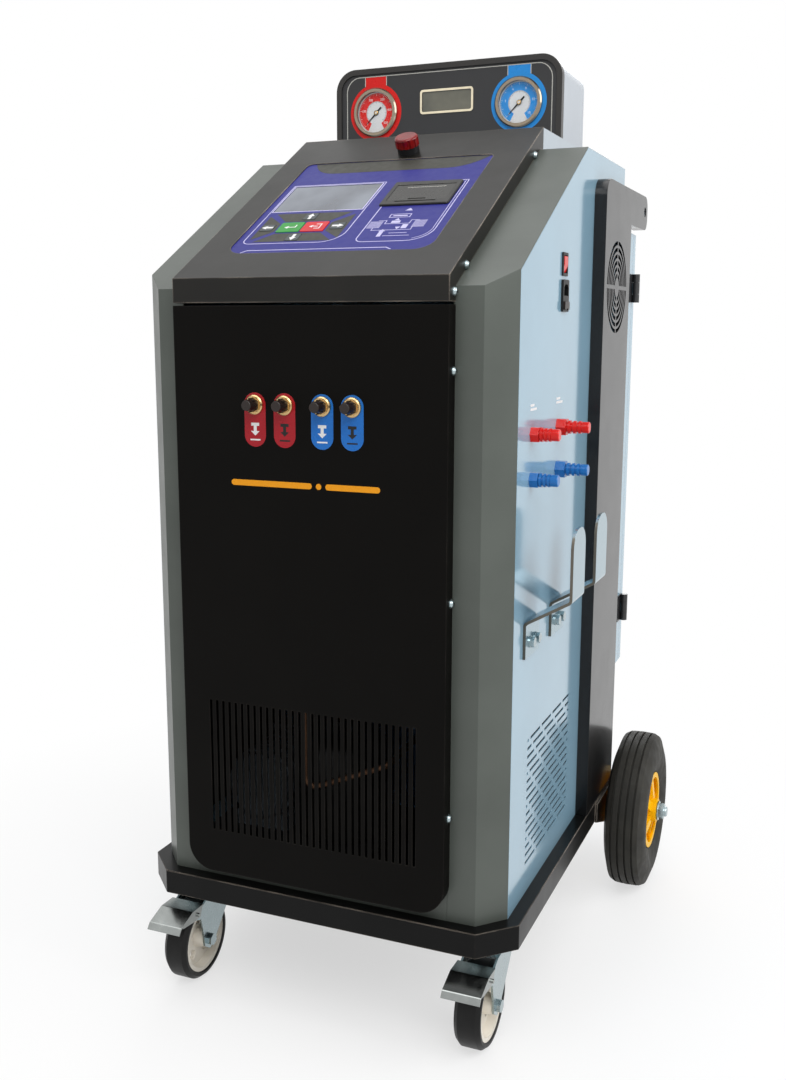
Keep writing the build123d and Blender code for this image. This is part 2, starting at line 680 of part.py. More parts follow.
def printer_lid():
    """Lid over the paper bay, turning on two stub pins in its rolled upper edge."""
    length = LID_HEIGHT - LID_T / 2
    plate = Pos(0, -length / 2, -0.05) * Box(LID_WIDTH, length, LID_T - 0.1)
    plate = fillet(plate.edges().filter_by(Axis.Z).group_by(Axis.Y)[0], 2)
    grip = Pos(0, 4 - length, LID_T / 2) * Rot(0, 90, 0) * Cylinder(1.6, 26)
    roll = Rot(0, 90, 0) * Cylinder(LID_T / 2, LID_WIDTH)
    pins = Rot(0, 90, 0) * Cylinder(LID_PIN_R, LID_WIDTH + 6)
    return HOOD_PLANE * lid_hinge() * (plate - grip + roll + pins)


def alarm_lamp_base():
    """Low collar that the lamp sits on."""
    collar = Pos(0, 0, LAMP_BASE_H / 2) * Cylinder(LAMP_BASE_R, LAMP_BASE_H)
    return HOOD_PLANE * Pos(LAMP_X, LAMP_S) * collar


def alarm_lamp_lens():
    """Red lamp dome with flutes round its side."""
    dome = Pos(0, 0, LAMP_H / 2) * Cylinder(LAMP_R, LAMP_H)
    dome = fillet(dome.faces().sort_by(Axis.Z)[-1].edges(), 4)
    flute = Pos(LAMP_R + 0.8, 0, LAMP_H / 2 - 3) * Cylinder(2.2, LAMP_H)
    dome = dome - ring_of(flute, Axis.Z, LAMP_FLUTES)
    return HOOD_PLANE * Pos(LAMP_X, LAMP_S, LAMP_BASE_H) * dome


def pod_outline(inset):
    """Front view of the pod: flat below, round corners on top."""
    height = POD_TOP_Z - POD_BOTTOM_Z - 2 * inset
    face = Pos(0, (POD_TOP_Z + POD_BOTTOM_Z) / 2) * Rectangle(2 * (POD_HALF - inset), height)
    top = face.vertices().sort_by(Axis.Y)[-2:]
    return fillet(top, POD_CORNER_R - inset)


def pod_housing():
    """Gauge pod shell, with a rim in front and a closed back."""
    depth = POD_BACK_Y - POD_FRONT_Y
    shell = extrude(POD_PLANE * pod_outline(0), amount=-depth)
    room = extrude(POD_PLANE * pod_outline(POD_WALL), amount=-(depth - POD_WALL))
    step = POD_FACE_SUNK + POD_FACE_T
    rim = extrude(POD_PLANE * pod_outline(POD_WALL), amount=-POD_FACE_SUNK)
    rim = rim - extrude(POD_PLANE * pod_outline(POD_RIM), amount=-POD_FACE_SUNK)
    screen_room = extrude(POD_PLANE * Pos(0, 0, -step) * pod_outline(POD_WALL), amount=-1)
    return shell - room - screen_room + rim


def pod_face():
    """Sunk grey face with two gauge holes, plus the small display behind its window."""
    back = Pos(0, 0, -POD_FACE_SUNK)
    plate = extrude(POD_PLANE * back * pod_outline(POD_WALL), amount=-POD_FACE_T)
    for x in (-GAUGE_X, GAUGE_X):
        plate = plate - rod((x, POD_FRONT_Y, GAUGE_Z), (0, 1, 0), GAUGE_BARREL_R + KEY_GAP, 12)
    sunk = POD_FRONT_Y + POD_FACE_SUNK
    window = Pos(DISPLAY_X, sunk + 0.5, DISPLAY_Z) * Box(DISPLAY_WIDTH - 8, 1.0, DISPLAY_HEIGHT - 8)
    module = block(
        DISPLAY_X - DISPLAY_WIDTH / 2,
        DISPLAY_X + DISPLAY_WIDTH / 2,
        sunk + POD_FACE_T,
        sunk + POD_FACE_T + 14,
        DISPLAY_Z - DISPLAY_HEIGHT / 2,
        DISPLAY_Z + DISPLAY_HEIGHT / 2,
    )
    return group(plate - window, module)


def gauge_places():
    """Centres of the two gauges on the sunk face."""
    y = POD_FRONT_Y + POD_FACE_SUNK
    return [(x, y, GAUGE_Z) for x in (-GAUGE_X, GAUGE_X)]


def gauge_case():
    """Bezel, barrel and socket of one gauge, opening towards -Y, with its face seat at y = 0."""
    floor = 4.0
    profile = Polyline(
        (GAUGE_BEZEL_R, 0),
        (GAUGE_BARREL_R, 0),
        (GAUGE_BARREL_R, -GAUGE_BARREL_DEPTH),
        (0, -GAUGE_BARREL_DEPTH),
        (0, -floor),
        (GAUGE_DIAL_R + 0.3, -floor),
        (GAUGE_DIAL_R + 0.3, GAUGE_PROUD - 2),
        (GAUGE_DIAL_R - 1.0, GAUGE_PROUD),
        (GAUGE_BEZEL_R - 2.0, GAUGE_PROUD),
        (GAUGE_BEZEL_R, GAUGE_PROUD - 2.5),
        close=True,
    )
    body = revolve(Plane.XZ * make_face(profile), Axis.Z)
    socket = Pos(0, 0, -GAUGE_BARREL_DEPTH - 9) * Cylinder(6.5, 18)
    return Rot(90, 0, 0) * (body + socket)


def gauge_cases():
    """Both gauge cases."""
    case = gauge_case()
    return group(*[Pos(*place) * case for place in gauge_places()])


def gauge_dials():
    """Two dial discs with the spindle that carries the needle."""
    disc = Pos(0, 0, -3.4) * Cylinder(GAUGE_DIAL_R, 1.2)
    spindle = Pos(0, 0, -1.4) * Cylinder(GAUGE_SPINDLE_R, 4)
    dial = Rot(90, 0, 0) * (disc + spindle)
    return group(*[Pos(*place) * dial for place in gauge_places()])


def gauge_needle(place):
    """Tapered needle with a round hub, at rest on the zero mark."""
    hub_r = 4.0
    blade = make_face(
        Polyline((NEEDLE_TIP, 0.35), (0, 1.4), (-NEEDLE_TAIL, 1.4), (-NEEDLE_TAIL, -1.4), (0, -1.4),
                 (NEEDLE_TIP, -0.35), close=True)
    )
    needle = extrude(blade, amount=0.8) + Pos(0, 0, 0.8) * Cylinder(hub_r, 1.6)
    needle = needle - Cylinder(GAUGE_SPINDLE_R + 0.05, 10)
    needle = Rot(0, 0, NEEDLE_ZERO_DEG) * needle
    return Pos(*place) * Rot(90, 0, 0) * Pos(0, 0, -2.0) * needle


def port_fittings():
    """Four bulkhead fittings: round flange, hexagon and a shank back to the manifold."""
    fittings = []
    for x in PORT_X:
        start = (x, -PANEL_PROUD - PORT_FLANGE_T, PORT_Z)
        flange = rod(start, (0, 1, 0), PORT_FLANGE_R, PORT_FLANGE_T)
        flange = chamfer(flange.faces().sort_by(Axis.Y)[0].edges(), 1.5)
        hexagon = extrude(RegularPolygon(10.5, 6), amount=2.5)
        hexagon = Plane(origin=start, z_dir=(0, -1, 0)) * hexagon
        shank = rod((x, -PANEL_PROUD, PORT_Z), (0, 1, 0), PORT_SHANK_R, PANEL_PROUD + MANIFOLD_Y[0])
        fittings.append(flange + hexagon + shank)
    return group(*fittings)


def port_caps():
    """Four ribbed dust caps over the fittings."""
    caps = []
    rib = Pos(PORT_CAP_R + 0.25, 0, 5) * Box(1.6, 1.4, 8)
    shape = Pos(0, 0, PORT_CAP_LENGTH / 2) * Cone(PORT_CAP_R, PORT_CAP_R - 1.6, PORT_CAP_LENGTH)
    shape = fillet(shape.faces().sort_by(Axis.Z)[-1].edges(), 1.5)
    shape = shape + ring_of(rib, Axis.Z, 8)
    for x in PORT_X:
        seat = Plane(origin=(x, -PANEL_PROUD - PORT_FLANGE_T - 2.5, PORT_Z), z_dir=(0, -1, 0))
        caps.append(seat * shape)
    return group(*caps)


def rocker_bezel():
    """Black frame and case of the mains switch."""
    frame = Pos(0, 0, ROCKER_PROUD / 2) * Box(*ROCKER_BEZEL, ROCKER_PROUD)
    frame = chamfer(frame.faces().sort_by(Axis.Z)[-1].edges(), 0.8)
    case = Pos(0, 0, -10) * Box(ROCKER_BODY[0] + 1.4, ROCKER_BODY[1] + 1.4, 20)
    room = Pos(0, 0, -5) * Box(ROCKER_BODY[0] - 1.6, ROCKER_BODY[1] - 1.6, 22)
    pin = Pos(0, 0, -1.5) * Rot(0, 90, 0) * Cylinder(ROCKER_PIN_R, ROCKER_BODY[0])
    return SIDE_PLANE * Pos(ROCKER_Y, ROCKER_Z) * (frame + case - room + pin)


def rocker():
    """Red rocker: two flat faces that meet over the pin, resting tilted to one side."""
    half = (ROCKER_BODY[1] - 3.4) / 2
    crown = 3.2
    wing = half * tan(radians(ROCKER_TILT_DEG))
    low = crown - wing
    outline = Polyline((-half, -6), (half, -6), (half, low), (0, crown), (-half, low), close=True)
    width = ROCKER_BODY[0] - 2.6
    shape = extrude(Plane.YZ * make_face(outline), amount=width / 2, both=True)
    shape = shape - Pos(0, 0, -1.5) * Rot(0, 90, 0) * Cylinder(ROCKER_PIN_R + 0.05, width + 2)
    shape = Pos(0, 0, -1.5) * Rot(ROCKER_TILT_DEG, 0, 0) * Pos(0, 0, 1.5) * shape
    return SIDE_PLANE * Pos(ROCKER_Y, ROCKER_Z) * shape


def mains_inlet():
    """Appliance inlet: flange, socket with three pins, and the slot for the fuse drawer."""
    flange = Pos(0, 0, INLET_PROUD / 2) * Box(INLET_WIDTH, INLET_HEIGHT, INLET_PROUD)
    flange = fillet(flange.edges().filter_by(Axis.Z), 2.5)
    case = Pos(0, 0, -INLET_DEPTH / 2) * Box(INLET_WIDTH - 4, INLET_HEIGHT - 4, INLET_DEPTH)
    socket_z = INLET_HEIGHT / 2 - 14.5
    opening = make_face(
        Polyline((-11.5, -7.5), (11.5, -7.5), (11.5, 3.5), (6.5, 8), (-6.5, 8), (-11.5, 3.5), close=True)
    )
    socket = Pos(0, socket_z, INLET_PROUD - 17) * extrude(opening, amount=18)
    drawer_z = -INLET_HEIGHT / 2 + 3 + DRAWER_HEIGHT / 2
    drawer = Pos(0, drawer_z, INLET_PROUD - 11.5) * Box(
        INLET_WIDTH - 7 + 2 * KEY_GAP, DRAWER_HEIGHT + 2 * KEY_GAP, 24
    )
    pins = []
    for px, pz in ((-7, -1.5), (7, -1.5), (0, 3)):
        pins.append(Pos(px, socket_z + pz, INLET_PROUD - 12.5) * Box(2, 4, 11))
    return SIDE_PLANE * Pos(INLET_Y, INLET_Z) * (flange + case - socket - drawer + pins)


def fuse_drawer():
    """Pull-out drawer for the two fuses, with a finger lip."""
    drawer_z = -INLET_HEIGHT / 2 + 3 + DRAWER_HEIGHT / 2
    body = Pos(0, 0, -9.4) * Box(INLET_WIDTH - 7, DRAWER_HEIGHT, 21.4)
    lip = Pos(0, 0, 2.3) * Box(INLET_WIDTH - 7, DRAWER_HEIGHT, 2)
    notch = Pos(0, -DRAWER_HEIGHT / 2, 3.3) * Box(9, 3, 3)
    troughs = Pos(0, 0, -7) * Rot(0, 90, 0) * Cylinder(3.2, INLET_WIDTH - 11)
    return SIDE_PLANE * Pos(INLET_Y, INLET_Z + drawer_z, INLET_PROUD - 1) * (body + lip - notch - troughs)


def coupler_post(length, base_r):
    """Parking post for a hose coupler: hexagon base, stepped rings and a plain tip, along +Z."""
    base = extrude(RegularPolygon(base_r, 6), amount=0.3 * length)
    rings_from = 0.3 * length
    rings_to = length - COUPLER_TIP_LENGTH
    pitch = (rings_to - rings_from) / 3
    neck = Pos(0, 0, length / 2) * Cylinder(COUPLER_TIP_R - 1, length)
    tip = Pos(0, 0, length - COUPLER_TIP_LENGTH / 2) * Cylinder(COUPLER_TIP_R, COUPLER_TIP_LENGTH)
    tip = chamfer(tip.faces().sort_by(Axis.Z)[-1].edges(), 1)
    post = base + neck + tip
    for i in range(3):
        z = rings_from + (i + 0.55) * pitch
        post = post + Pos(0, 0, z) * Cylinder(COUPLER_TIP_R + 1.4 - 0.3 * i, 0.55 * pitch)
    stud = Pos(0, 0, -6) * Cylinder(COUPLER_TIP_R - 1.3, 12)
    return post + stud


def coupler_posts(z):
    """The two parking posts at one height of the right side."""
    posts = []
    for y, length, base_r in zip(COUPLER_Y, COUPLER_LENGTH, COUPLER_BASE_R):
        posts.append(SIDE_PLANE * Pos(y, z) * coupler_post(length, base_r))
    return group(*posts)


def hook_bolt_places():
    """Distances of the four hook bolts behind the front strips."""
    return [y + inset for y in HOOK_Y for inset in HOOK_BOLT_INSET]


def hose_hooks():
    """Two bent strips: leg on the panel, arm sloping out, and an upright with a round tip."""
    hooks = []
    for y in HOOK_Y:
        centre = [
            (CAB_HALF + HOOK_T / 2, HOOK_LEG_Z[0]),
            (CAB_HALF + HOOK_T / 2, HOOK_LEG_Z[1]),
            (HOOK_OUT_X, HOOK_UP_Z[0]),
            (HOOK_OUT_X, HOOK_UP_Z[1]),
        ]
        line = FilletPolyline(*[(x, z) for x, z in centre], radius=6)
        strip = Plane.XZ * trace(line, line_width=HOOK_T)
        hook = extrude(strip, amount=-HOOK_WIDTH)
        hook = Pos(0, y, 0) * hook
        tip_r = HOOK_WIDTH * 0.42
        tips = hook.edges().filter_by(Axis.X).group_by(Axis.Z)[-1]
        hook = fillet(tips, tip_r)
        for inset in HOOK_BOLT_INSET:
            hook = hook - rod((CAB_HALF - 1, y + inset, HOOK_BOLT_Z), (1, 0, 0), HOOK_BOLT_R + 0.3, 8)
        hooks.append(hook)
    return group(*hooks)


def hook_bolts():
    """Bolts through the hook legs and the side panel: washer, head, shank and nut."""
    bolts = []
    for y in hook_bolt_places():
        outer = CAB_HALF + HOOK_T
        seat = Plane(origin=(outer, y, HOOK_BOLT_Z), z_dir=(1, 0, 0))
        washer = Pos(0, 0, 0.8) * Cylinder(8, 1.6)
        head = Pos(0, 0, 1.6) * extrude(RegularPolygon(7.5, 6), amount=5.3)
        grip = HOOK_T + SHEET
        shank = Pos(0, 0, -grip - 8) * extrude(Circle(HOOK_BOLT_R), amount=grip + 8)
        nut = Pos(0, 0, -grip - 6.5) * extrude(RegularPolygon(7.5, 6), amount=6.5)
        bolts.append(seat * (washer + head + shank + nut))
    return group(*bolts)


def column_outline(inset):
    """Side view of a rear column with the ear that carries the push handle."""
    points = [
        (COLUMN_Y[0], TRAY_TOP),
        (COLUMN_Y[0], COLUMN_TOP),
        (EAR_BACK_Y, COLUMN_TOP),
        (EAR_BACK_Y, EAR_BOTTOM_Z),
        (COLUMN_Y[1], EAR_BOTTOM_Z),
        (COLUMN_Y[1], TRAY_TOP),
    ]
    face = make_face(Polyline(*points, close=True))
    top_front = face.vertices().sort_by_distance((COLUMN_Y[0], COLUMN_TOP, 0))[0]
    face = fillet(top_front, COLUMN_TOP_R)
    for corner in ((EAR_BACK_Y, COLUMN_TOP, 0), (EAR_BACK_Y, EAR_BOTTOM_Z, 0)):
        face = fillet(face.vertices().sort_by_distance(corner)[0], EAR_R)
    if inset > 0:
        face = offset(face, amount=-inset, kind=Kind.INTERSECTION)
    return face


def guard_slots():
    """Ring slots of the fan guard, split into quarters by four spokes."""
    cuts = []
    for i in range(FAN_RINGS):
        outer = FAN_GUARD_R - i * FAN_RING_PITCH
        ring = Circle(outer) - Circle(outer - FAN_RING_GAP)
        cuts.append(ring)
    pattern = Sketch() + cuts
    cross = Rectangle(FAN_SPOKE, 3 * FAN_GUARD_R) + Rectangle(3 * FAN_GUARD_R, FAN_SPOKE)
    return extrude(pattern - cross, amount=8)


def rear_column():
    """One folded column, open towards the cabinet, with the hole for the handle tube."""
    outer = extrude(column_outline(0), amount=COLUMN_OUT)
    room = extrude(column_outline(SHEET), amount=COLUMN_OUT - SHEET)
    sight = Pos(HANDLE_Y, HANDLE_Z, COLUMN_OUT - 4) * Cylinder(8, 12)
    return outer - room - sight


def rear_columns():
    """Both columns; the right one is pierced by the fan guard."""
    plain = rear_column()
    guarded = plain - Pos(FAN_Y, FAN_Z, COLUMN_OUT - 4) * guard_slots()
    return group(SIDE_PLANE * guarded, mirrored(SIDE_PLANE * plain))


def push_handle():
    """Round tube between the two ears."""
    half = CAB_HALF + COLUMN_OUT - SHEET
    bar = rod((-half, HANDLE_Y, HANDLE_Z), (1, 0, 0), HANDLE_R, 2 * half)
    bore = rod((-half - 1, HANDLE_Y, HANDLE_Z), (1, 0, 0), HANDLE_R - HANDLE_WALL, 2 * half + 2)
    return bar - bore


def fan_frame():
    """Square fan frame inside the side panel, with the motor mount and its spokes."""
    inner_x = CAB_HALF - SHEET - FAN_DEPTH
    frame = block(
        inner_x,
        CAB_HALF - SHEET,
        FAN_Y - FAN_SIZE / 2,
        FAN_Y + FAN_SIZE / 2,
        FAN_Z - FAN_SIZE / 2,
        FAN_Z + FAN_SIZE / 2,
    )
    frame = fillet(frame.edges().filter_by(Axis.X), 6)
    frame = frame - rod((inner_x - 1, FAN_Y, FAN_Z), (1, 0, 0), FAN_BORE_R, FAN_DEPTH + 2)
    motor = rod((inner_x, FAN_Y, FAN_Z), (1, 0, 0), FAN_HUB_R - 2, 5)
    pin = rod((inner_x, FAN_Y, FAN_Z), (1, 0, 0), FAN_PIN_R, FAN_DEPTH - 12)
    spoke = block(inner_x, inner_x + 4, FAN_Y - 3, FAN_Y + 3, FAN_Z + FAN_HUB_R - 4, FAN_Z + FAN_BORE_R + 2)
    axis = Axis((0, FAN_Y, FAN_Z), (1, 0, 0))
    return frame + motor + pin + ring_of(spoke, axis, 4)


def fan_rotor():
    """Fan hub with pitched blades, running on the motor pin."""
    inner_x = CAB_HALF - SHEET - FAN_DEPTH + 6
    depth = FAN_DEPTH - 12
    hub = rod((inner_x, FAN_Y, FAN_Z), (1, 0, 0), FAN_HUB_R, depth)
    blade = Box(1.8, 26, FAN_BLADE_R - FAN_HUB_R + 3)
    blade = Pos(0, 0, (FAN_BLADE_R + FAN_HUB_R - 3) / 2) * Rot(0, 0, 50) * blade
    blade = Pos(inner_x + depth / 2, FAN_Y, FAN_Z) * blade
    axis = Axis((0, FAN_Y, FAN_Z), (1, 0, 0))
    rotor = hub + ring_of(blade, axis, FAN_BLADES)
    return rotor - rod((inner_x - 1, FAN_Y, FAN_Z), (1, 0, 0), FAN_PIN_R + 0.05, depth - 2)


def back_panel():
    """Back sheet of the cabinet with the service hatch."""
    inner = CAB_HALF - SHEET
    sheet = block(-inner, inner, CAB_DEPTH - SHEET, CAB_DEPTH, TRAY_TOP, TOP_Z - SHEET)
    return sheet - block(-HATCH_HALF, HATCH_HALF, CAB_DEPTH - 2 * SHEET, CAB_DEPTH + SHEET, *HATCH_Z)


def rear_housing():
    """Shallow box round the hatch, open to the back, with the fixed half of both door hinges."""
    half = HOUSING_HALF
    front = CAB_DEPTH
    back = HOUSING_BACK_Y
    outer = block(-half, half, front, back, HOUSING_BOTTOM, HOUSING_TOP)
    low = HOUSING_BOTTOM + SHEET
    high = HOUSING_TOP - SHEET
    room = block(-half + SHEET, half - SHEET, front + SHEET, back + 1, low, high)
    hatch = block(-HATCH_HALF, HATCH_HALF, front - 1, front + 2 * SHEET, *HATCH_Z)
    hinges = [fixed_hinge(z) for z in DOOR_HINGE_Z]
    return outer - room - hatch + hinges


def fixed_hinge(z):
    """Leaf, two knuckles and the pin of one door hinge."""
    z0 = z - HINGE_LENGTH / 2
    z1 = z + HINGE_LENGTH / 2
    pin_x = HOUSING_HALF + DOOR_PIN_OUT
    y = HOUSING_BACK_Y
    pin = rod((pin_x, y, z0), (0, 0, 1), DOOR_PIN_R, HINGE_LENGTH)
    lower = rod((pin_x, y, z0), (0, 0, 1), DOOR_KNUCKLE_R, KNUCKLE_LENGTH)
    upper = rod((pin_x, y, z1 - KNUCKLE_LENGTH), (0, 0, 1), DOOR_KNUCKLE_R, KNUCKLE_LENGTH)
    x0 = HOUSING_HALF
    x1 = HOUSING_HALF + LEAF_T
    leaf = block(x0, x1, y - LEAF_WIDTH, y, z0, z1)
    gap = block(x0, x1, y - DOOR_KNUCKLE_R - 1, y + 1, z0 + KNUCKLE_LENGTH, z1 - KNUCKLE_LENGTH)
    return pin + lower + upper + (leaf - gap)


def rear_door():
    """Shallow door pan with two hinge knuckles and a pull rim."""
    y0 = HOUSING_BACK_Y + DOOR_GAP
    y1 = y0 + DOOR_DEPTH
    low = HOUSING_BOTTOM + DOOR_GAP
    high = HOUSING_TOP - DOOR_GAP
    half = HOUSING_HALF
    pan = block(-half, half, y0, y1, low, high)
    pan = fillet(pan.edges().filter_by(Axis.Z).group_by(Axis.Y)[-1], 5)
    room = block(
        -half + SHEET, half - SHEET, y0 - 1, y1 - SHEET, low + SHEET, high - SHEET
    )
    pan = pan - room
    pin_x = half + DOOR_PIN_OUT
    for z in DOOR_HINGE_Z:
        length = HINGE_LENGTH - 2 * KNUCKLE_LENGTH - 2 * KNUCKLE_GAP
        knuckle = rod((pin_x, HOUSING_BACK_Y, z - length / 2), (0, 0, 1), DOOR_KNUCKLE_R, length)
        leaf = block(half - 1, half + 2.5, y0 + 1, y0 + 18, z - length / 2, z + length / 2)
        arm = block(half + 2, pin_x + 1, y0 + 1, y0 + DOOR_KNUCKLE_R - 1, z - length / 2, z + length / 2)
        knuckle = knuckle + leaf + arm
        bore = rod((pin_x, HOUSING_BACK_Y, z - length), (0, 0, 1), DOOR_PIN_R + 0.05, 2 * length)
        pan = pan + (knuckle - bore)
    return pan


def tray_plan(inset):
    """Outline of the base tray seen from above."""
    half = CAB_HALF + TRAY_LIP
    front = half - TRAY_CHAMFER
    points = [
        (-half, TRAY_BACK),
        (-half, -TRAY_LIP + TRAY_CHAMFER),
        (-front, -TRAY_LIP),
        (front, -TRAY_LIP),
        (half, -TRAY_LIP + TRAY_CHAMFER),
        (half, TRAY_BACK),
    ]
    face = plan_face(points, TRAY_BOTTOM)
    if inset > 0:
        face = offset(face, amount=-inset, kind=Kind.INTERSECTION)
    return face


def axle_room():
    """Free space round the rear axle, which notches whatever of the tray comes down to it."""
    half = CAB_HALF + TRAY_LIP
    return rod((-half - 1, REAR_AXLE_Y, TYRE_R), (1, 0, 0), AXLE_R + AXLE_ROOM, 2 * half + 2)


def tray_pan():
    """Folded tray under the cabinet, open below."""
    pan = extrude(tray_plan(0), amount=TRAY_DEPTH, dir=(0, 0, 1))
    pan = pan - extrude(tray_plan(TRAY_WALL), amount=TRAY_DEPTH - TRAY_WALL, dir=(0, 0, 1))
    return pan - axle_room()


def tray_rails():
    """Two box rails across the tray, over the casters and in front of the rear axle."""
    half = CAB_HALF + TRAY_LIP - TRAY_WALL
    top = TRAY_TOP - TRAY_WALL
    rails = []
    for y in (CASTER_SWIVEL_Y, REAR_AXLE_Y - RAIL_WIDTH / 2 - RAIL_GAP):
        y0 = y - RAIL_WIDTH / 2
        y1 = y + RAIL_WIDTH / 2
        rail = block(-half, half, y0, y1, TRAY_BOTTOM, top)
        hollow = block(
            -half - 1, half + 1, y0 + RAIL_WALL, y1 - RAIL_WALL, TRAY_BOTTOM + RAIL_WALL, top - RAIL_WALL
        )
        rails.append(rail - hollow - axle_room())
    return group(*rails)


def axle_plates():
    """Plates on both sides of the tray that hold the rear axle."""
    y = REAR_AXLE_Y
    z = TYRE_R
    foot = z - PLATE_FOOT
    outline = [
        (y - PLATE_FRONT, TRAY_TOP - PLATE_DROP),
        (TRAY_BACK, TRAY_TOP - PLATE_DROP),
        (TRAY_BACK + PLATE_TAIL, z + AXLE_R + 2),
        (y + PLATE_HALF, foot),
        (y - PLATE_HALF, foot),
        (y - PLATE_FRONT, TRAY_BOTTOM),
    ]
    x0 = CAB_HALF + TRAY_LIP
    plate = side_prism(outline, x0, x0 + BRACKET_T)
    plate = plate - rod((x0 - 1, y, z), (1, 0, 0), AXLE_R + PLATE_BORE_GAP, BRACKET_T + 2)
    return group(plate, mirrored(plate))


def base_tray():
    """The tray with its rails and axle plates."""
    return group(tray_pan(), tray_rails(), axle_plates())


def rear_axle():
    """Round axle with a washer and a dome nut outside each wheel."""
    axle = rod((-AXLE_END_X + 9, REAR_AXLE_Y, TYRE_R), (1, 0, 0), AXLE_R, 2 * (AXLE_END_X - 9))
    hub_end = TYRE_X + HUB_WIDTH / 2
    washer_x = hub_end + 0.5
    washer = rod((washer_x, REAR_AXLE_Y, TYRE_R), (1, 0, 0), 17, 2.5)
    nut_x = washer_x + 2.5
    nut_seat = Plane(origin=(nut_x, REAR_AXLE_Y, TYRE_R), z_dir=(1, 0, 0))
    nut = nut_seat * extrude(RegularPolygon(15, 6), amount=9)
    cap = rod((nut_x + 9, REAR_AXLE_Y, TYRE_R), (1, 0, 0), 9, AXLE_END_X - nut_x - 9)
    cap = fillet(cap.faces().sort_by(Axis.X)[-1].edges(), 2.5)
    end = washer + nut + cap
    collar_x = CAB_HALF + TRAY_LIP + BRACKET_T
    collar = rod((collar_x, REAR_AXLE_Y, TYRE_R), (1, 0, 0), 14, TYRE_X - HUB_WIDTH / 2 - 0.5 - collar_x)
    if TYRE_X - HUB_WIDTH / 2 - 0.5 - collar_x > 0.5:
        end = end + collar
    return axle + end + mirrored(end)


def rear_tyre():
    """Ribbed tyre about the X axis, centred on the origin."""
    half = TYRE_WIDTH / 2
    tread = half - 11
    profile = Polyline(
        (-RIM_WIDTH / 2, RIM_R),
        (-RIM_WIDTH / 2 - 4, RIM_R + 6),
        (-half, RIM_R + 30),
        (-half + 1.5, TYRE_R - 26),
        (-tread - 2, TYRE_R - 5),
        (-tread + 6, TYRE_R - 0.8),
        (0, TYRE_R),
        (tread - 6, TYRE_R - 0.8),
        (tread + 2, TYRE_R - 5),
        (half - 1.5, TYRE_R - 26),
        (half, RIM_R + 30),
        (RIM_WIDTH / 2 + 4, RIM_R + 6),
        (RIM_WIDTH / 2, RIM_R),
        close=True,
    )
    section = make_face(profile)
    for x in (-18, -6, 6, 18):
        section = section - Pos(x, TYRE_R - 1) * Rectangle(3.2, 7)
    return revolve(section, Axis.X)


def rear_rim():
    """Spoked rim about the X axis: barrel, lips, five spokes and the hub."""
    half = RIM_WIDTH / 2
    profile = Polyline(
        (-half - 3, RIM_R - 8),
        (-half - 3, RIM_R + 1),
        (-half, RIM_R),
        (half, RIM_R),
        (half + 3, RIM_R + 1),
        (half + 3, RIM_R - 8),
        (half, RIM_R - 8),
        (half - 5, RIM_R - 5),
        (-half + 5, RIM_R - 5),
        (-half, RIM_R - 8),
        close=True,
    )
    barrel = revolve(make_face(profile), Axis.X)
    hub = Rot(0, 90, 0) * Cylinder(HUB_R, HUB_WIDTH)
    spoke_profile = Polyline((HUB_R - 4, 19), (HUB_R - 4, 31), (RIM_R - 4, 23), (RIM_R - 4, 11), close=True)
    # The spoke outline is drawn in (radius, x) and widened round the wheel.
    spoke = extrude(make_face(spoke_profile), amount=8, both=True)
    spoke = Rot(0, 0, 90) * spoke
    spoke = mirror(spoke, about=Plane.YZ)
    rim = barrel + hub + ring_of(spoke, Axis.X, RIM_SPOKES)
    web = Rot(0, 90, 0) * (Cylinder(RIM_R - 4, 5) - Cylinder(HUB_R - 1, 6))
    return rim + web - Rot(0, 90, 0) * Cylinder(AXLE_R + AXLE_CLEARANCE, HUB_WIDTH + 2)


def rear_wheel_at(shape, side):
    """A wheel part on the axle, to the right for side 1 and to the left for side -1."""
    placed = Pos(TYRE_X, REAR_AXLE_Y, TYRE_R) * shape
    return placed if side > 0 else mirrored(placed)


def caster_plates():
    """Top plates of both casters, with four bolt holes and the upper ball race."""
    z1 = TRAY_BOTTOM
    z0 = z1 - CASTER_PLATE_T
    width, depth = CASTER_PLATE
    plate = extrude(RectangleRounded(width, depth, 6), amount=CASTER_PLATE_T)
    for dx in (-1, 1):
        for dy in (-1, 1):
            hole = Pos(dx * CASTER_PLATE_HOLES[0] / 2, dy * CASTER_PLATE_HOLES[1] / 2, 0)
            plate = plate - hole * Cylinder(CASTER_HOLE_R, 20)
    race = Pos(0, 0, -RACE_H / 2) * Cone(RACE_R, RACE_R + RACE_FLARE, RACE_H)
    pin = Pos(0, 0, -KING_PIN_LENGTH / 2) * Cylinder(KING_PIN_R, KING_PIN_LENGTH)
    plate = Pos(0, 0, z0) * (plate + race + pin)
    return group(*[Pos(x, CASTER_SWIVEL_Y, 0) * plate for x in (-CASTER_X, CASTER_X)])


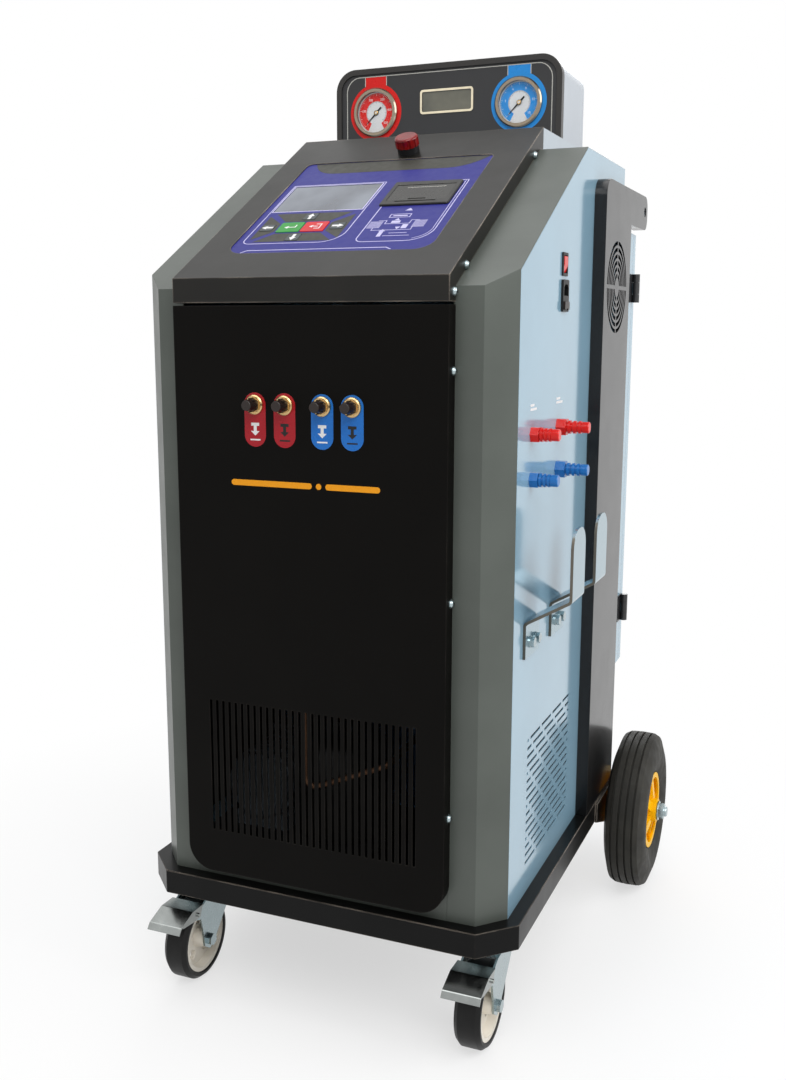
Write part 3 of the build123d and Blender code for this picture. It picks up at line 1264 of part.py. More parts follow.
def caster_fork(side):
    """Pressed fork with its lower ball race, plus the axle bolt and nut."""
    x = side * CASTER_X
    race_top = TRAY_BOTTOM - CASTER_PLATE_T - RACE_H - RACE_GAP
    crown_top = FORK_CROWN_Z + FORK_T
    half = FORK_INNER + FORK_T
    crown = block(x - half, x + half, CASTER_SWIVEL_Y - 36, CASTER_SWIVEL_Y + 34, FORK_CROWN_Z, crown_top)
    race_middle = (race_top + crown_top) / 2
    race = Pos(x, CASTER_SWIVEL_Y, race_middle) * Cone(RACE_R + 4, RACE_R, race_top - crown_top)
    y = CASTER_AXLE_Y
    back = CASTER_SWIVEL_Y + 34
    outline = [
        (back, crown_top),
        (back, crown_top - 16),
        (y + 13, CASTER_R - 10),
        (y, CASTER_R - 16),
        (y - 14, CASTER_R - 6),
        (y - 17, CASTER_R + 18),
        (PEDAL_PIVOT_Y + 12, PEDAL_PIVOT_Z - 14),
        (PEDAL_PIVOT_Y - 8, PEDAL_PIVOT_Z - 7),
        (PEDAL_PIVOT_Y - 8, PEDAL_PIVOT_Z + 5),
        (PEDAL_PIVOT_Y + 18, PEDAL_PIVOT_Z + 5.5),
        (CASTER_SWIVEL_Y - 36, crown_top),
    ]
    leg = side_prism(outline, x + FORK_INNER, x + half)
    legs = leg + side_prism(outline, x - half, x - FORK_INNER)
    fork = crown + legs + race
    fork = fork - rod((x - 40, y, CASTER_R), (1, 0, 0), CASTER_BOLT_R + 0.05, 80)
    fork = fork - rod((x - 40, PEDAL_PIVOT_Y, PEDAL_PIVOT_Z), (1, 0, 0), PEDAL_PIN_R + 0.05, 80)
    bore_foot = (x, CASTER_SWIVEL_Y, FORK_CROWN_Z - 1)
    fork = fork - rod(bore_foot, (0, 0, 1), KING_PIN_R + KING_PIN_GAP, RACE_STACK)
    bolt = rod((x - half, y, CASTER_R), (1, 0, 0), CASTER_BOLT_R, 2 * half)
    nuts = []
    for direction in (-1, 1):
        seat = Plane(origin=(x + direction * half, y, CASTER_R), z_dir=(direction, 0, 0))
        nuts.append(seat * extrude(RegularPolygon(9.5, 6), amount=7))
    return group(fork, bolt + nuts)


def caster_pedal(side):
    """Wide pressed brake pedal with two side ears on its pivot pin."""
    x = side * CASTER_X
    top = PEDAL_PIVOT_Z + 9
    back_y = PEDAL_PIVOT_Y + 16
    line = FilletPolyline(
        (back_y, top),
        (PEDAL_PIVOT_Y - 14, top + 1),
        (PEDAL_TIP_Y + 8, PEDAL_TIP_Z + 1),
        (PEDAL_TIP_Y + PEDAL_T, PEDAL_TIP_Z - 7),
        radius=5,
    )
    pedal_plane = Plane(origin=(x - PEDAL_HALF, 0, 0), x_dir=(0, 1, 0), z_dir=(1, 0, 0))
    strip = pedal_plane * trace(line, line_width=PEDAL_T)
    tread = extrude(strip, amount=2 * PEDAL_HALF)
    ear_outline = [
        (back_y - 2, top + 0.9),
        (PEDAL_PIVOT_Y - 14, top + 1.9),
        (PEDAL_TIP_Y + 14, PEDAL_TIP_Z + 3),
        (PEDAL_TIP_Y + 14, PEDAL_TIP_Z - 1),
        (PEDAL_PIVOT_Y - 8, PEDAL_PIVOT_Z - 7),
        (PEDAL_PIVOT_Y + 7, PEDAL_PIVOT_Z - 6),
    ]
    ear = side_prism(ear_outline, x + PEDAL_HALF - PEDAL_T, x + PEDAL_HALF)
    ears = ear + side_prism(ear_outline, x - PEDAL_HALF, x - PEDAL_HALF + PEDAL_T)
    pin_start = (x - PEDAL_HALF - 3, PEDAL_PIVOT_Y, PEDAL_PIVOT_Z)
    pin = rod(pin_start, (1, 0, 0), PEDAL_PIN_R, 2 * PEDAL_HALF + 6)
    return tread + ears + pin


def caster_wheel(side):
    """Rubber tyre on a dished rim, about the axle bolt."""
    half = CASTER_WIDTH / 2
    rim_half = half - 2
    tyre_profile = Polyline(
        (-rim_half, CASTER_RIM_R),
        (-half, CASTER_RIM_R + 2),
        (-half, CASTER_R - 5),
        (-half + 6, CASTER_R),
        (half - 6, CASTER_R),
        (half, CASTER_R - 5),
        (half, CASTER_RIM_R + 2),
        (rim_half, CASTER_RIM_R),
        close=True,
    )
    rim_profile = Polyline(
        (-FORK_INNER + 0.5, CASTER_BOLT_R + 0.05),
        (-FORK_INNER + 0.5, 13),
        (-4, 16),
        (-4, CASTER_RIM_R - 9),
        (-rim_half, CASTER_RIM_R - 6),
        (-rim_half, CASTER_RIM_R),
        (rim_half, CASTER_RIM_R),
        (rim_half, CASTER_RIM_R - 6),
        (4, CASTER_RIM_R - 9),
        (4, 16),
        (FORK_INNER - 0.5, 13),
        (FORK_INNER - 0.5, CASTER_BOLT_R + 0.05),
        close=True,
    )
    place = Pos(side * CASTER_X, CASTER_AXLE_Y, CASTER_R)
    tyre = revolve(make_face(tyre_profile), Axis.X)
    rim = revolve(make_face(rim_profile), Axis.X)
    window = Pos(0, 0, 29) * Rot(0, 90, 0) * Cylinder(8, 20)
    rim = rim - ring_of(window, Axis.X, 5)
    return group(place * tyre, place * rim)


def tank_scale():
    """Weighing platform: base plate, load cell and top plate."""
    half = TANK_R - 4
    base = block(-half, half, TANK_Y - half, TANK_Y + half, TRAY_TOP, TRAY_TOP + 4)
    cell = block(-65, 65, TANK_Y - 15, TANK_Y + 15, TRAY_TOP + 4, TRAY_TOP + SCALE_HEIGHT - 4)
    plate_top = TRAY_TOP + SCALE_HEIGHT
    top = block(-half, half, TANK_Y - half, TANK_Y + half, plate_top - 4, plate_top)
    return base + cell + top


def refrigerant_tank():
    """Welded cylinder with a foot ring, a guard collar and two valves."""
    z0 = TRAY_TOP + SCALE_HEIGHT
    foot = 22.0
    shoulder = 70.0
    outline = Polyline(
        (0, foot),
        (TANK_R - 30, foot),
        (TANK_R - 8, foot + 14),
        (TANK_R, foot + 34),
        (TANK_R, TANK_HEIGHT - shoulder),
        (TANK_R - 16, TANK_HEIGHT - shoulder + 34),
        (TANK_R - 60, TANK_HEIGHT - shoulder + 54),
        (0, TANK_HEIGHT - shoulder + 60),
        close=True,
    )
    shell = revolve(Plane.XZ * make_face(outline), Axis.Z)
    ring = Pos(0, 0, foot / 2 + 4) * (Cylinder(TANK_R - 18, foot + 8) - Cylinder(TANK_R - 21, foot + 9))
    collar = Pos(0, 0, TANK_HEIGHT - 18) * (Cylinder(62, 62) - Cylinder(59, 70))
    for y in (-60, 60):
        collar = collar - Pos(0, y, TANK_HEIGHT - 10) * Box(76, 40, 40)
    tank = shell + ring + collar
    for x in (-26, 26):
        stem = Pos(x, 0, TANK_HEIGHT - 6) * Cylinder(8, 46)
        wheel = Pos(x, 0, TANK_HEIGHT + 21) * Cylinder(17, 9)
        tank = tank + stem + wheel
    return Pos(0, TANK_Y, z0) * tank


def compressor():
    """Hermetic compressor can on a foot plate with four rubber feet."""
    x, y = COMPRESSOR_AT
    plate_z = TRAY_TOP + 12
    can = Pos(0, 0, 88) * Cylinder(COMPRESSOR_R, 168)
    can = fillet(can.edges().filter_by(GeomType.CIRCLE), 26)
    plate = Pos(0, 0, 2) * Box(2 * COMPRESSOR_R + 6, 2 * COMPRESSOR_R + 6, 4)
    stub = Pos(0, 0, 176) * Cylinder(9, 16)
    body = Pos(x, y, plate_z) * (can + plate + stub)
    feet = []
    for dx in (-1, 1):
        for dy in (-1, 1):
            feet.append(Pos(x + dx * 62, y + dy * 62, TRAY_TOP + 6) * Cylinder(10, 12))
    return body + feet


def vacuum_pump():
    """Two-stage vacuum pump: finned motor, oil case and a foot rail."""
    x, y = PUMP_AT
    z = TRAY_TOP + 75
    motor = rod((x, y - 70, z), (0, 1, 0), 52, 130)
    fins = []
    for i in range(5):
        fins.append(rod((x, y - 58 + i * 23, z), (0, 1, 0), 57, 8))
    case = block(x - 48, x + 48, y + 60, y + 150, TRAY_TOP + 20, z + 58)
    case = fillet(case.edges().filter_by(Axis.Y), 12)
    foot = block(x - 45, x + 45, y - 60, y + 140, TRAY_TOP, TRAY_TOP + 24)
    return motor + fins + case + foot


def condenser():
    """Finned core between two end plates, with hairpin bends, behind the right-hand vents."""
    x0, x1 = CONDENSER_X
    y0, y1 = CONDENSER_Y
    z0 = TRAY_TOP
    z1 = TRAY_TOP + CONDENSER_HEIGHT
    core = block(x0 + 2, x1 - 2, y0, y1, z0 + 8, z1 - 4)
    grooves = []
    for i in range(CONDENSER_FINS):
        y = y0 + (i + 1) * (y1 - y0) / (CONDENSER_FINS + 1)
        grooves.append(block(x1 - 14, x1, y - 3, y + 3, z0 + 4, z1))
    body = core - grooves
    for y in (y0, y1 - 3):
        body = body + block(x0, x1, y, y + 3, z0, z1)
    bend = Rot(0, 0, 90) * Torus(19, PIPE_R) & Pos(0, 40, 0) * Box(80, 80, 80)
    for y, turn in ((y1, 0), (y0, 180)):
        for row in range(3):
            z = z0 + 50 + row * 68
            body = body + Pos((x0 + x1) / 2, y, z) * Rot(0, 0, turn) * Rot(0, 90, 0) * bend
    for port in condenser_ports():
        body = body + block(port[0], x0 + 4, port[1] - 12, port[1] + 12, port[2] - 12, port[2] + 12)
    return body


def condenser_ports():
    """Where the two pipes meet the header blocks."""
    x = CONDENSER_X[0] - 14
    z = TRAY_TOP + CONDENSER_HEIGHT - 34
    return (x, CONDENSER_Y[0] + 32, z), (x, CONDENSER_Y[1] - 32, z)


def refrigerant_lines():
    """Valve manifold behind the ports and the copper pipes that leave it."""
    manifold = block(PORT_X[0] - 22, PORT_X[-1] + 22, *MANIFOLD_Y, *MANIFOLD_Z)
    for x in PORT_X:
        coil = Pos(x, (MANIFOLD_Y[0] + MANIFOLD_Y[1]) / 2, MANIFOLD_Z[1] + 17) * Cylinder(12, 34)
        manifold = manifold + coil
    y = (MANIFOLD_Y[0] + MANIFOLD_Y[1]) / 2
    z = MANIFOLD_Z[0]
    hot_in, liquid_out = condenser_ports()
    hot = tube(
        [(PORT_X[1], y, z), (PORT_X[1], y, 338), (95, y, 393), (95, hot_in[1], hot_in[2]), hot_in], PIPE_R, 14
    )
    x, cy = COMPRESSOR_AT
    top = TRAY_TOP + 12 + 184
    suction = tube([(PORT_X[3], y, z), (PORT_X[3], y, 610), (x, cy, 560), (x, cy, top)], PIPE_R, 14)
    tank_top = TRAY_TOP + SCALE_HEIGHT + TANK_HEIGHT
    liquid = tube(
        [
            liquid_out,
            (150, liquid_out[1], liquid_out[2]),
            (150, liquid_out[1], tank_top - 6),
            (26, liquid_out[1], tank_top - 6),
            (26, TANK_Y - 8, tank_top - 6),
        ],
        PIPE_R,
        14,
    )
    return group(manifold, hot, suction, liquid)


def filter_drier():
    """Spin-on drier can on its bracket inside the service housing."""
    x = HATCH_HALF - 60
    z = 790.0
    y = CAB_DEPTH - 78
    can = Pos(x, y, z) * Cylinder(38, 150)
    can = fillet(can.edges().filter_by(GeomType.CIRCLE), 10)
    head = Pos(x, y, z + 90) * Cylinder(30, 30)
    bracket = block(x - 20, CAB_HALF - SHEET, y - 3, y + 3, z + 92, z + 104)
    return can + head + bracket


def build_parts():
    """Every node of the machine by name."""
    dial_left, dial_right = gauge_places()
    tyre = rear_tyre()
    rim = rear_rim()
    parts = {
        "base_tray": base_tray(),
        "corner_posts": corner_posts(),
        "side_panel_left": mirrored(side_panel()),
        "side_panel_right": side_panel_right(),
        "top_cover": top_cover(),
        "front_panel": front_panel(),
        "control_hood": control_hood(),
        "keypad_overlay": keypad_overlay(),
        "control_board": control_board(),
        "printer_body": printer_body(),
        "printer_lid": printer_lid(),
        "alarm_lamp_base": alarm_lamp_base(),
        "alarm_lamp_lens": alarm_lamp_lens(),
        "pod_housing": pod_housing(),
        "pod_face": pod_face(),
        "gauge_cases": gauge_cases(),
        "gauge_dials": gauge_dials(),
        "needle_left": gauge_needle(dial_left),
        "needle_right": gauge_needle(dial_right),
        "port_fittings": port_fittings(),
        "port_caps": port_caps(),
        "rocker_bezel": rocker_bezel(),
        "rocker": rocker(),
        "mains_inlet": mains_inlet(),
        "fuse_drawer": fuse_drawer(),
        "coupler_posts_red": coupler_posts(COUPLER_RED_Z),
        "coupler_posts_blue": coupler_posts(COUPLER_BLUE_Z),
        "hose_hooks": hose_hooks(),
        "hook_bolts": hook_bolts(),
        "rear_columns": rear_columns(),
        "push_handle": push_handle(),
        "fan_frame": fan_frame(),
        "fan_rotor": fan_rotor(),
        "back_panel": back_panel(),
        "rear_housing": rear_housing(),
        "rear_door": rear_door(),
        "rear_axle": rear_axle(),
        "rear_tyre_left": rear_wheel_at(tyre, -1),
        "rear_tyre_right": rear_wheel_at(tyre, 1),
        "rear_rim_left": rear_wheel_at(rim, -1),
        "rear_rim_right": rear_wheel_at(rim, 1),
        "caster_plates": caster_plates(),
        "caster_fork_left": caster_fork(-1),
        "caster_fork_right": caster_fork(1),
        "caster_pedal_left": caster_pedal(-1),
        "caster_pedal_right": caster_pedal(1),
        "caster_wheel_left": caster_wheel(-1),
        "caster_wheel_right": caster_wheel(1),
        "refrigerant_tank": group(refrigerant_tank(), tank_scale()),
        "compressor": compressor(),
        "vacuum_pump": vacuum_pump(),
        "condenser": condenser(),
        "refrigerant_lines": refrigerant_lines(),
        "filter_drier": filter_drier(),
    }
    for name in KEYS:
        parts[name] = key_cap(name)
    return parts


def main():
    """Writes every node as a STEP file, centred along Y under the middle of the machine."""
    os.makedirs("parts", exist_ok=True)
    parts = build_parts()
    boxes = [shape.bounding_box() for shape in parts.values()]
    front = min(box.min.Y for box in boxes)
    back = max(box.max.Y for box in boxes)
    middle = (front + back) / 2
    for name, shape in parts.items():
        export_step(Pos(0, -middle, 0) * shape, f"parts/{name}.step")


main()
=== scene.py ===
from math import asin, atan2, cos, hypot, pi, radians, sin, tan

import bmesh
import bpy
from mathutils import Matrix, Vector
from mathutils.bvhtree import BVHTree


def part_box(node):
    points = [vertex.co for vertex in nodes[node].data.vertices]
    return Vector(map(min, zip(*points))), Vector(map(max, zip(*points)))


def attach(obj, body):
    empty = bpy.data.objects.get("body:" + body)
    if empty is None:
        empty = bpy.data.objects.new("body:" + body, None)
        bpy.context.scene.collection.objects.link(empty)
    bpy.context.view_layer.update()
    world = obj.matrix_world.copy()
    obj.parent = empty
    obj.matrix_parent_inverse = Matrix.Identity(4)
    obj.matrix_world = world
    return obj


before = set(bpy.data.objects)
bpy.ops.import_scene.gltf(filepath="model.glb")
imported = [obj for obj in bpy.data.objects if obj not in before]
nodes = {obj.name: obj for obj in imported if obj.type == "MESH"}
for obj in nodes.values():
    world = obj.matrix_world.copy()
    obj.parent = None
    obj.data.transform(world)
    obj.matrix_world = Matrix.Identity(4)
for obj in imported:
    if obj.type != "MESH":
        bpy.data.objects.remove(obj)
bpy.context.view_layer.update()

# Sizes in this script are millimetres; MM turns them into Blender's metres.
MM = 0.001
SLOPE = radians(29.8)

# Camera, in the same frame as the machine
CAMERA_AT = (693.4, -1740.15, 992.0)
CAMERA_YAW = 0.396
CAMERA_PITCH = -0.181
CAMERA_ROLL = 0.002
CAMERA_LENS = 38.86
CAMERA_SENSOR = 36.0

# Thickness of printed films and how far they stand off the sheet below
PRINT = 0.12


# Planes that the flat details lie on

def plane_matrix(origin, across, up):
    """Local x runs across, local y up and local z outward, with the origin in millimetres."""
    x = Vector(across).normalized()
    y = Vector(up).normalized()
    z = x.cross(y)
    matrix = Matrix((x, y, z)).transposed().to_4x4()
    matrix.translation = Vector(origin) * MM
    return matrix


def low(node):
    """Lowest corner of a node in millimetres."""
    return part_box(node)[0] / MM


def high(node):
    """Highest corner of a node in millimetres."""
    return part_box(node)[1] / MM


hood_low = low("control_hood")
hood_high = high("control_hood")
hood_edge_z = hood_high.z - (hood_high.y - hood_low.y) * tan(SLOPE)
HOOD = plane_matrix((0, hood_low.y, hood_edge_z), (1, 0, 0), (0, cos(SLOPE), sin(SLOPE)))
FRONT = plane_matrix((0, low("front_panel").y, 0), (1, 0, 0), (0, 0, 1))
POD = plane_matrix((0, low("pod_housing").y, 0), (1, 0, 0), (0, 0, 1))
SIDE = plane_matrix((high("side_panel_right").x, 0, 0), (0, 1, 0), (0, 0, 1))


# Colour helpers

def linear(channel):
    """One 0 to 255 screen channel as scene-linear light."""
    value = channel / 255
    return value / 12.92 if value <= 0.04045 else ((value + 0.055) / 1.055) ** 2.4


def colour(red, green, blue):
    return (linear(red), linear(green), linear(blue), 1.0)


# Material building blocks

class Shader:
    """A node material with short names for the few node kinds used here."""

    def __init__(self, name):
        self.material = bpy.data.materials.new(name)
        self.material.use_nodes = True
        self.tree = self.material.node_tree
        self.surface = self.tree.nodes["Principled BSDF"]

    def add(self, kind, **values):
        node = self.tree.nodes.new(kind)
        for key, value in values.items():
            setattr(node, key, value)
        return node

    def link(self, source, target):
        self.tree.links.new(source, target)

    def set(self, **values):
        names = {
            "base": "Base Color",
            "rough": "Roughness",
            "metal": "Metallic",
            "coat": "Coat Weight",
            "coat_rough": "Coat Roughness",
            "specular": "Specular IOR Level",
            "ior": "IOR",
            "transmission": "Transmission Weight",
            "subsurface": "Subsurface Weight",
            "alpha": "Alpha",
        }
        for key, value in values.items():
            self.surface.inputs[names[key]].default_value = value

    def place(self):
        """Object coordinates, which are the machine's own."""
        return self.add("ShaderNodeTexCoord").outputs["Object"]

    def noise(self, scale, detail=3.0, rough=0.5, stretch=(1, 1, 1)):
        mapping = self.add("ShaderNodeMapping")
        mapping.inputs["Scale"].default_value = stretch
        self.link(self.place(), mapping.inputs["Vector"])
        noise = self.add("ShaderNodeTexNoise")
        noise.inputs["Scale"].default_value = scale
        noise.inputs["Detail"].default_value = detail
        noise.inputs["Roughness"].default_value = rough
        self.link(mapping.outputs["Vector"], noise.inputs["Vector"])
        return noise.outputs["Fac"]

    def ramp(self, source, low_at, low_value, high_at, high_value):
        """Maps a grey value between two levels, as a number."""
        node = self.add("ShaderNodeMapRange")
        node.inputs["From Min"].default_value = low_at
        node.inputs["From Max"].default_value = high_at
        node.inputs["To Min"].default_value = low_value
        node.inputs["To Max"].default_value = high_value
        self.link(source, node.inputs["Value"])
        return node.outputs["Result"]

    def blend(self, factor, first, second):
        """Mixes two colours by a factor."""
        node = self.add("ShaderNodeMix", data_type="RGBA")
        self.link(factor, node.inputs[0])
        for value, socket in ((first, node.inputs[6]), (second, node.inputs[7])):
            if isinstance(value, tuple):
                socket.default_value = value
            else:
                self.link(value, socket)
        return node.outputs[2]

    def mix_value(self, factor, first, second):
        """Mixes a linked value and a number by a factor."""
        node = self.add("ShaderNodeMix", data_type="FLOAT")
        self.link(factor, node.inputs[0])
        self.link(first, node.inputs[2])
        node.inputs[3].default_value = second
        return node.outputs[0]

    def bump(self, source, strength, distance):
        node = self.add("ShaderNodeBump")
        node.inputs["Strength"].default_value = strength
        node.inputs["Distance"].default_value = distance * MM
        self.link(source, node.inputs["Height"])
        self.link(node.outputs["Normal"], self.surface.inputs["Normal"])
        return node


# Width of the painted highlight along an edge, and its colour on the black sheets: a lighter line standing in for the
# light the edges catch
EDGE_HIGHLIGHT_WIDTH = 2.2
EDGE_HIGHLIGHT_BLACK = (0.34, 0.29, 0.24, 1)


def shade(rgba, factor):
    return (rgba[0] * factor, rgba[1] * factor, rgba[2] * factor, 1.0)


def edge_mask(shader, width):
    """Mask that is up to 1 along the sharp edges, broken up by a noise."""
    soft = shader.add("ShaderNodeBevel", samples=4)
    soft.inputs["Radius"].default_value = width * MM
    facing = shader.add("ShaderNodeVectorMath", operation="DOT_PRODUCT")
    shader.link(soft.outputs["Normal"], facing.inputs[0])
    shader.link(shader.add("ShaderNodeNewGeometry").outputs["Normal"], facing.inputs[1])
    both = shader.add("ShaderNodeMath", operation="MULTIPLY")
    shader.link(shader.ramp(facing.outputs["Value"], 0.9, 1, 0.985, 0), both.inputs[0])
    shader.link(shader.ramp(shader.noise(18, 4), 0.4, 0.25, 0.6, 1), both.inputs[1])
    return both.outputs[0]


def paint(name, base, rough=0.3, grain=900, grain_height=0.03, coat=0.0, dust=0.12, shine=0.5, edge_highlight=None):
    """Sprayed or powder-coated steel: fine orange peel, slight mottling, rough patches and, if asked, a painted
    highlight along the sharp edges.
    """
    shader = Shader(name)
    mottling = shader.noise(9, 4)
    tone = shader.ramp(mottling, 0.3, 0, 0.7, 1)
    mixed = shader.blend(tone, shade(base, 1 - dust), shade(base, 1 + dust * 0.6))
    # Lighter colour along the sharp edges: painted highlight
    if edge_highlight:
        mixed = shader.blend(edge_mask(shader, EDGE_HIGHLIGHT_WIDTH), mixed, edge_highlight)
    shader.link(mixed, shader.surface.inputs["Base Color"])
    patches = shader.noise(23, 5)
    shader.link(shader.ramp(patches, 0.3, rough * 0.92, 0.7, rough * 1.1), shader.surface.inputs["Roughness"])
    shader.set(coat=coat, coat_rough=0.08, specular=shine)
    shader.bump(shader.noise(grain, 2), 0.5, grain_height)
    return shader.material


def plastic(name, base, rough=0.4, grain=1400, grain_height=0.015, coat=0.0, shine=0.5):
    """Moulded plastic with a fine spark-eroded texture."""
    shader = Shader(name)
    tone = shader.ramp(shader.noise(40, 3), 0.3, 0, 0.7, 1)
    shader.link(shader.blend(tone, shade(base, 0.92), shade(base, 1.06)), shader.surface.inputs["Base Color"])
    shader.link(shader.ramp(shader.noise(70, 4), 0.3, rough * 0.85, 0.7, rough * 1.15), shader.surface.inputs["Roughness"])
    shader.set(coat=coat, coat_rough=0.05, specular=shine)
    shader.bump(shader.noise(grain, 2), 0.4, grain_height)
    return shader.material


def metal(name, base, rough=0.25, stretch=(1, 1, 1), brush=260, spangle=0.1):
    """Bare or plated metal with a brushed grain or a faint spangle."""
    shader = Shader(name)
    grain = shader.noise(brush, 4, 0.6, stretch)
    shader.link(shader.blend(shader.ramp(grain, 0.3, 0, 0.7, 1), shade(base, 1 - spangle), shade(base, 1.0)),
                shader.surface.inputs["Base Color"])
    shader.link(shader.ramp(grain, 0.3, rough * 0.7, 0.7, rough * 1.4), shader.surface.inputs["Roughness"])
    shader.set(metal=1.0)
    shader.bump(grain, 0.15, 0.02)
    return shader.material


def rubber(name, base=(0.018, 0.018, 0.019, 1), rough=0.55, shine=0.3):
    """Moulded rubber with a soft bloom of dust."""
    shader = Shader(name)
    bloom = shader.ramp(shader.noise(14, 6, 0.65), 0.42, 0, 0.75, 1)
    shader.link(shader.blend(bloom, base, shade(base, 2.2)), shader.surface.inputs["Base Color"])
    shader.link(shader.ramp(shader.noise(55, 4), 0.3, rough * 0.85, 0.7, rough * 1.2), shader.surface.inputs["Roughness"])
    shader.set(specular=shine)
    shader.bump(shader.noise(700, 3), 0.35, 0.05)
    return shader.material


def print_ink(name, base, rough=0.35, shine=0.3):
    """Screen-printed ink: flat colour with a trace of the mesh and uneven gloss."""
    shader = Shader(name)
    speckle = shader.ramp(shader.noise(500, 2), 0.35, 0, 0.65, 1)
    shader.link(shader.blend(speckle, shade(base, 0.95), shade(base, 1.03)), shader.surface.inputs["Base Color"])
    shader.link(shader.ramp(shader.noise(90, 3), 0.3, rough * 0.85, 0.7, rough * 1.15), shader.surface.inputs["Roughness"])
    shader.set(specular=shine)
    shader.bump(shader.noise(600, 2), 0.1, 0.004)
    return shader.material


def second_tone(material, mask, base, rough):
    """Lays a second colour and gloss over a finish where the mask, made from the shader, is 1."""
    tree = material.node_tree
    surface = tree.nodes["Principled BSDF"]
    shader = Shader.__new__(Shader)
    shader.material = material
    shader.tree = tree
    shader.surface = surface
    factor = mask(shader)
    old_colour = surface.inputs["Base Color"].links[0].from_socket
    old_rough = surface.inputs["Roughness"].links[0].from_socket
    shader.link(shader.blend(factor, old_colour, base), surface.inputs["Base Color"])
    shader.link(shader.mix_value(factor, old_rough, rough), surface.inputs["Roughness"])
    return material


def before_y(limit):
    """Mask that is 1 in front of a plane, given in millimetres."""
    def mask(shader):
        split = shader.add("ShaderNodeSeparateXYZ")
        shader.link(shader.place(), split.inputs[0])
        return shader.ramp(split.outputs["Y"], (limit - 0.1) * MM, 1, (limit + 0.1) * MM, 0)
    return mask


def edges_along_y(shader):
    """Mask that is 1 on faces that look along y, such as the cut edges of a bent strip."""
    split = shader.add("ShaderNodeSeparateXYZ")
    shader.link(shader.add("ShaderNodeNewGeometry").outputs["Normal"], split.inputs[0])
    size = shader.add("ShaderNodeMath", operation="ABSOLUTE")
    shader.link(split.outputs["Y"], size.inputs[0])
    return shader.ramp(size.outputs[0], 0.6, 0, 0.8, 1)


def beyond_x(limit):
    """Mask that is 1 further out to the right than a plane, given in millimetres."""
    def mask(shader):
        split = shader.add("ShaderNodeSeparateXYZ")
        shader.link(shader.place(), split.inputs[0])
        return shader.ramp(split.outputs["X"], (limit - 0.1) * MM, 0, (limit + 0.1) * MM, 1)
    return mask


def inside_radius(centre_y, centre_z, limit):
    """Mask that is 1 nearer than a radius to an axle that lies along x."""
    def mask(shader):
        shift = shader.add("ShaderNodeVectorMath", operation="SUBTRACT")
        shift.inputs[1].default_value = (0, centre_y * MM, centre_z * MM)
        shader.link(shader.place(), shift.inputs[0])
        flat = shader.add("ShaderNodeVectorMath", operation="MULTIPLY")
        flat.inputs[1].default_value = (0, 1, 1)
        shader.link(shift.outputs["Vector"], flat.inputs[0])
        length = shader.add("ShaderNodeVectorMath", operation="LENGTH")
        shader.link(flat.outputs["Vector"], length.inputs[0])
        return shader.ramp(length.outputs["Value"], (limit - 0.1) * MM, 1, (limit + 0.1) * MM, 0)
    return mask


# Finishes

GREY_POST = paint("grey_post_paint", colour(81, 86, 81), 0.36, 1100, 0.03, shine=0.35)
BLUE_PANEL = paint("pale_blue_paint", (0.225, 0.378, 0.485, 1), 0.14, 700, 0.008, coat=0.5, dust=0.04, shine=0.35)
PALE_TOP = paint("pale_grey_paint", (0.38, 0.44, 0.49, 1), 0.2, 700, 0.008, coat=0.4, dust=0.05, shine=0.35)
# The lighter colour along the edges of these black sheets is a painted highlight
BLACK_TEXTURED = paint("black_textured_paint", (0.0030, 0.0026, 0.0022, 1), 0.5, 420, 0.10, dust=0.15, shine=0.06,
                       edge_highlight=(0.018, 0.016, 0.014, 1))
BLACK_HOOD = paint("black_hood_paint", (0.0072, 0.0066, 0.0052, 1), 0.34, 600, 0.05, dust=0.3, shine=0.25,
                   edge_highlight=EDGE_HIGHLIGHT_BLACK)
BLACK_GLOSS = paint("black_gloss_paint", (0.0055, 0.0055, 0.006, 1), 0.22, 800, 0.008, coat=0.12, dust=0.2, shine=0.3)
BLACK_TRAY = paint("black_tray_paint", (0.003, 0.003, 0.003, 1), 0.3, 500, 0.05, coat=0.03, dust=0.35, shine=0.12,
                   edge_highlight=EDGE_HIGHLIGHT_BLACK)
BLACK_PLASTIC = plastic("black_plastic", (0.008, 0.008, 0.0085, 1), 0.42, shine=0.25)
FAN_PLASTIC = plastic("fan_plastic", (0.006, 0.006, 0.0065, 1), 0.5, shine=0.2)
CAP_PLASTIC = plastic("cap_plastic", (0.016, 0.010, 0.008, 1), 0.32, shine=0.35)
PRINTER_PLASTIC = plastic("printer_plastic", (0.014, 0.0135, 0.012, 1), 0.36, shine=0.3)
PRINTER_LID = plastic("printer_lid_plastic", (0.017, 0.0165, 0.014, 1), 0.28, 900, 0.006, shine=0.35)
BLUE_FILM = print_ink("blue_film", colour(43, 44, 122), 0.36, 0.12)
POD_GREY = paint("pod_face_paint", colour(52, 52, 53), 0.42, 900, 0.02, dust=0.06, shine=0.25)
RED_PLASTIC = plastic("red_plastic", (0.66, 0.008, 0.004, 1), 0.14, coat=0.12, shine=0.25)
BLUE_PLASTIC = plastic("blue_plastic", (0.009, 0.135, 0.42, 1), 0.14, coat=0.12, shine=0.25)
KEY_GREEN = plastic("key_green_plastic", colour(40, 136, 50), 0.4, shine=0.25)
KEY_RED = plastic("key_red_plastic", colour(190, 26, 32), 0.4, shine=0.25)
KEY_GREY = plastic("key_grey_plastic", colour(66, 72, 74), 0.45, shine=0.25)
ZINC = metal("zinc_plate", (0.42, 0.50, 0.52, 1), 0.24, brush=60, spangle=0.1)
CHROME = metal("chrome_plate", (0.36, 0.38, 0.37, 1), 0.2, brush=26, spangle=0.25)
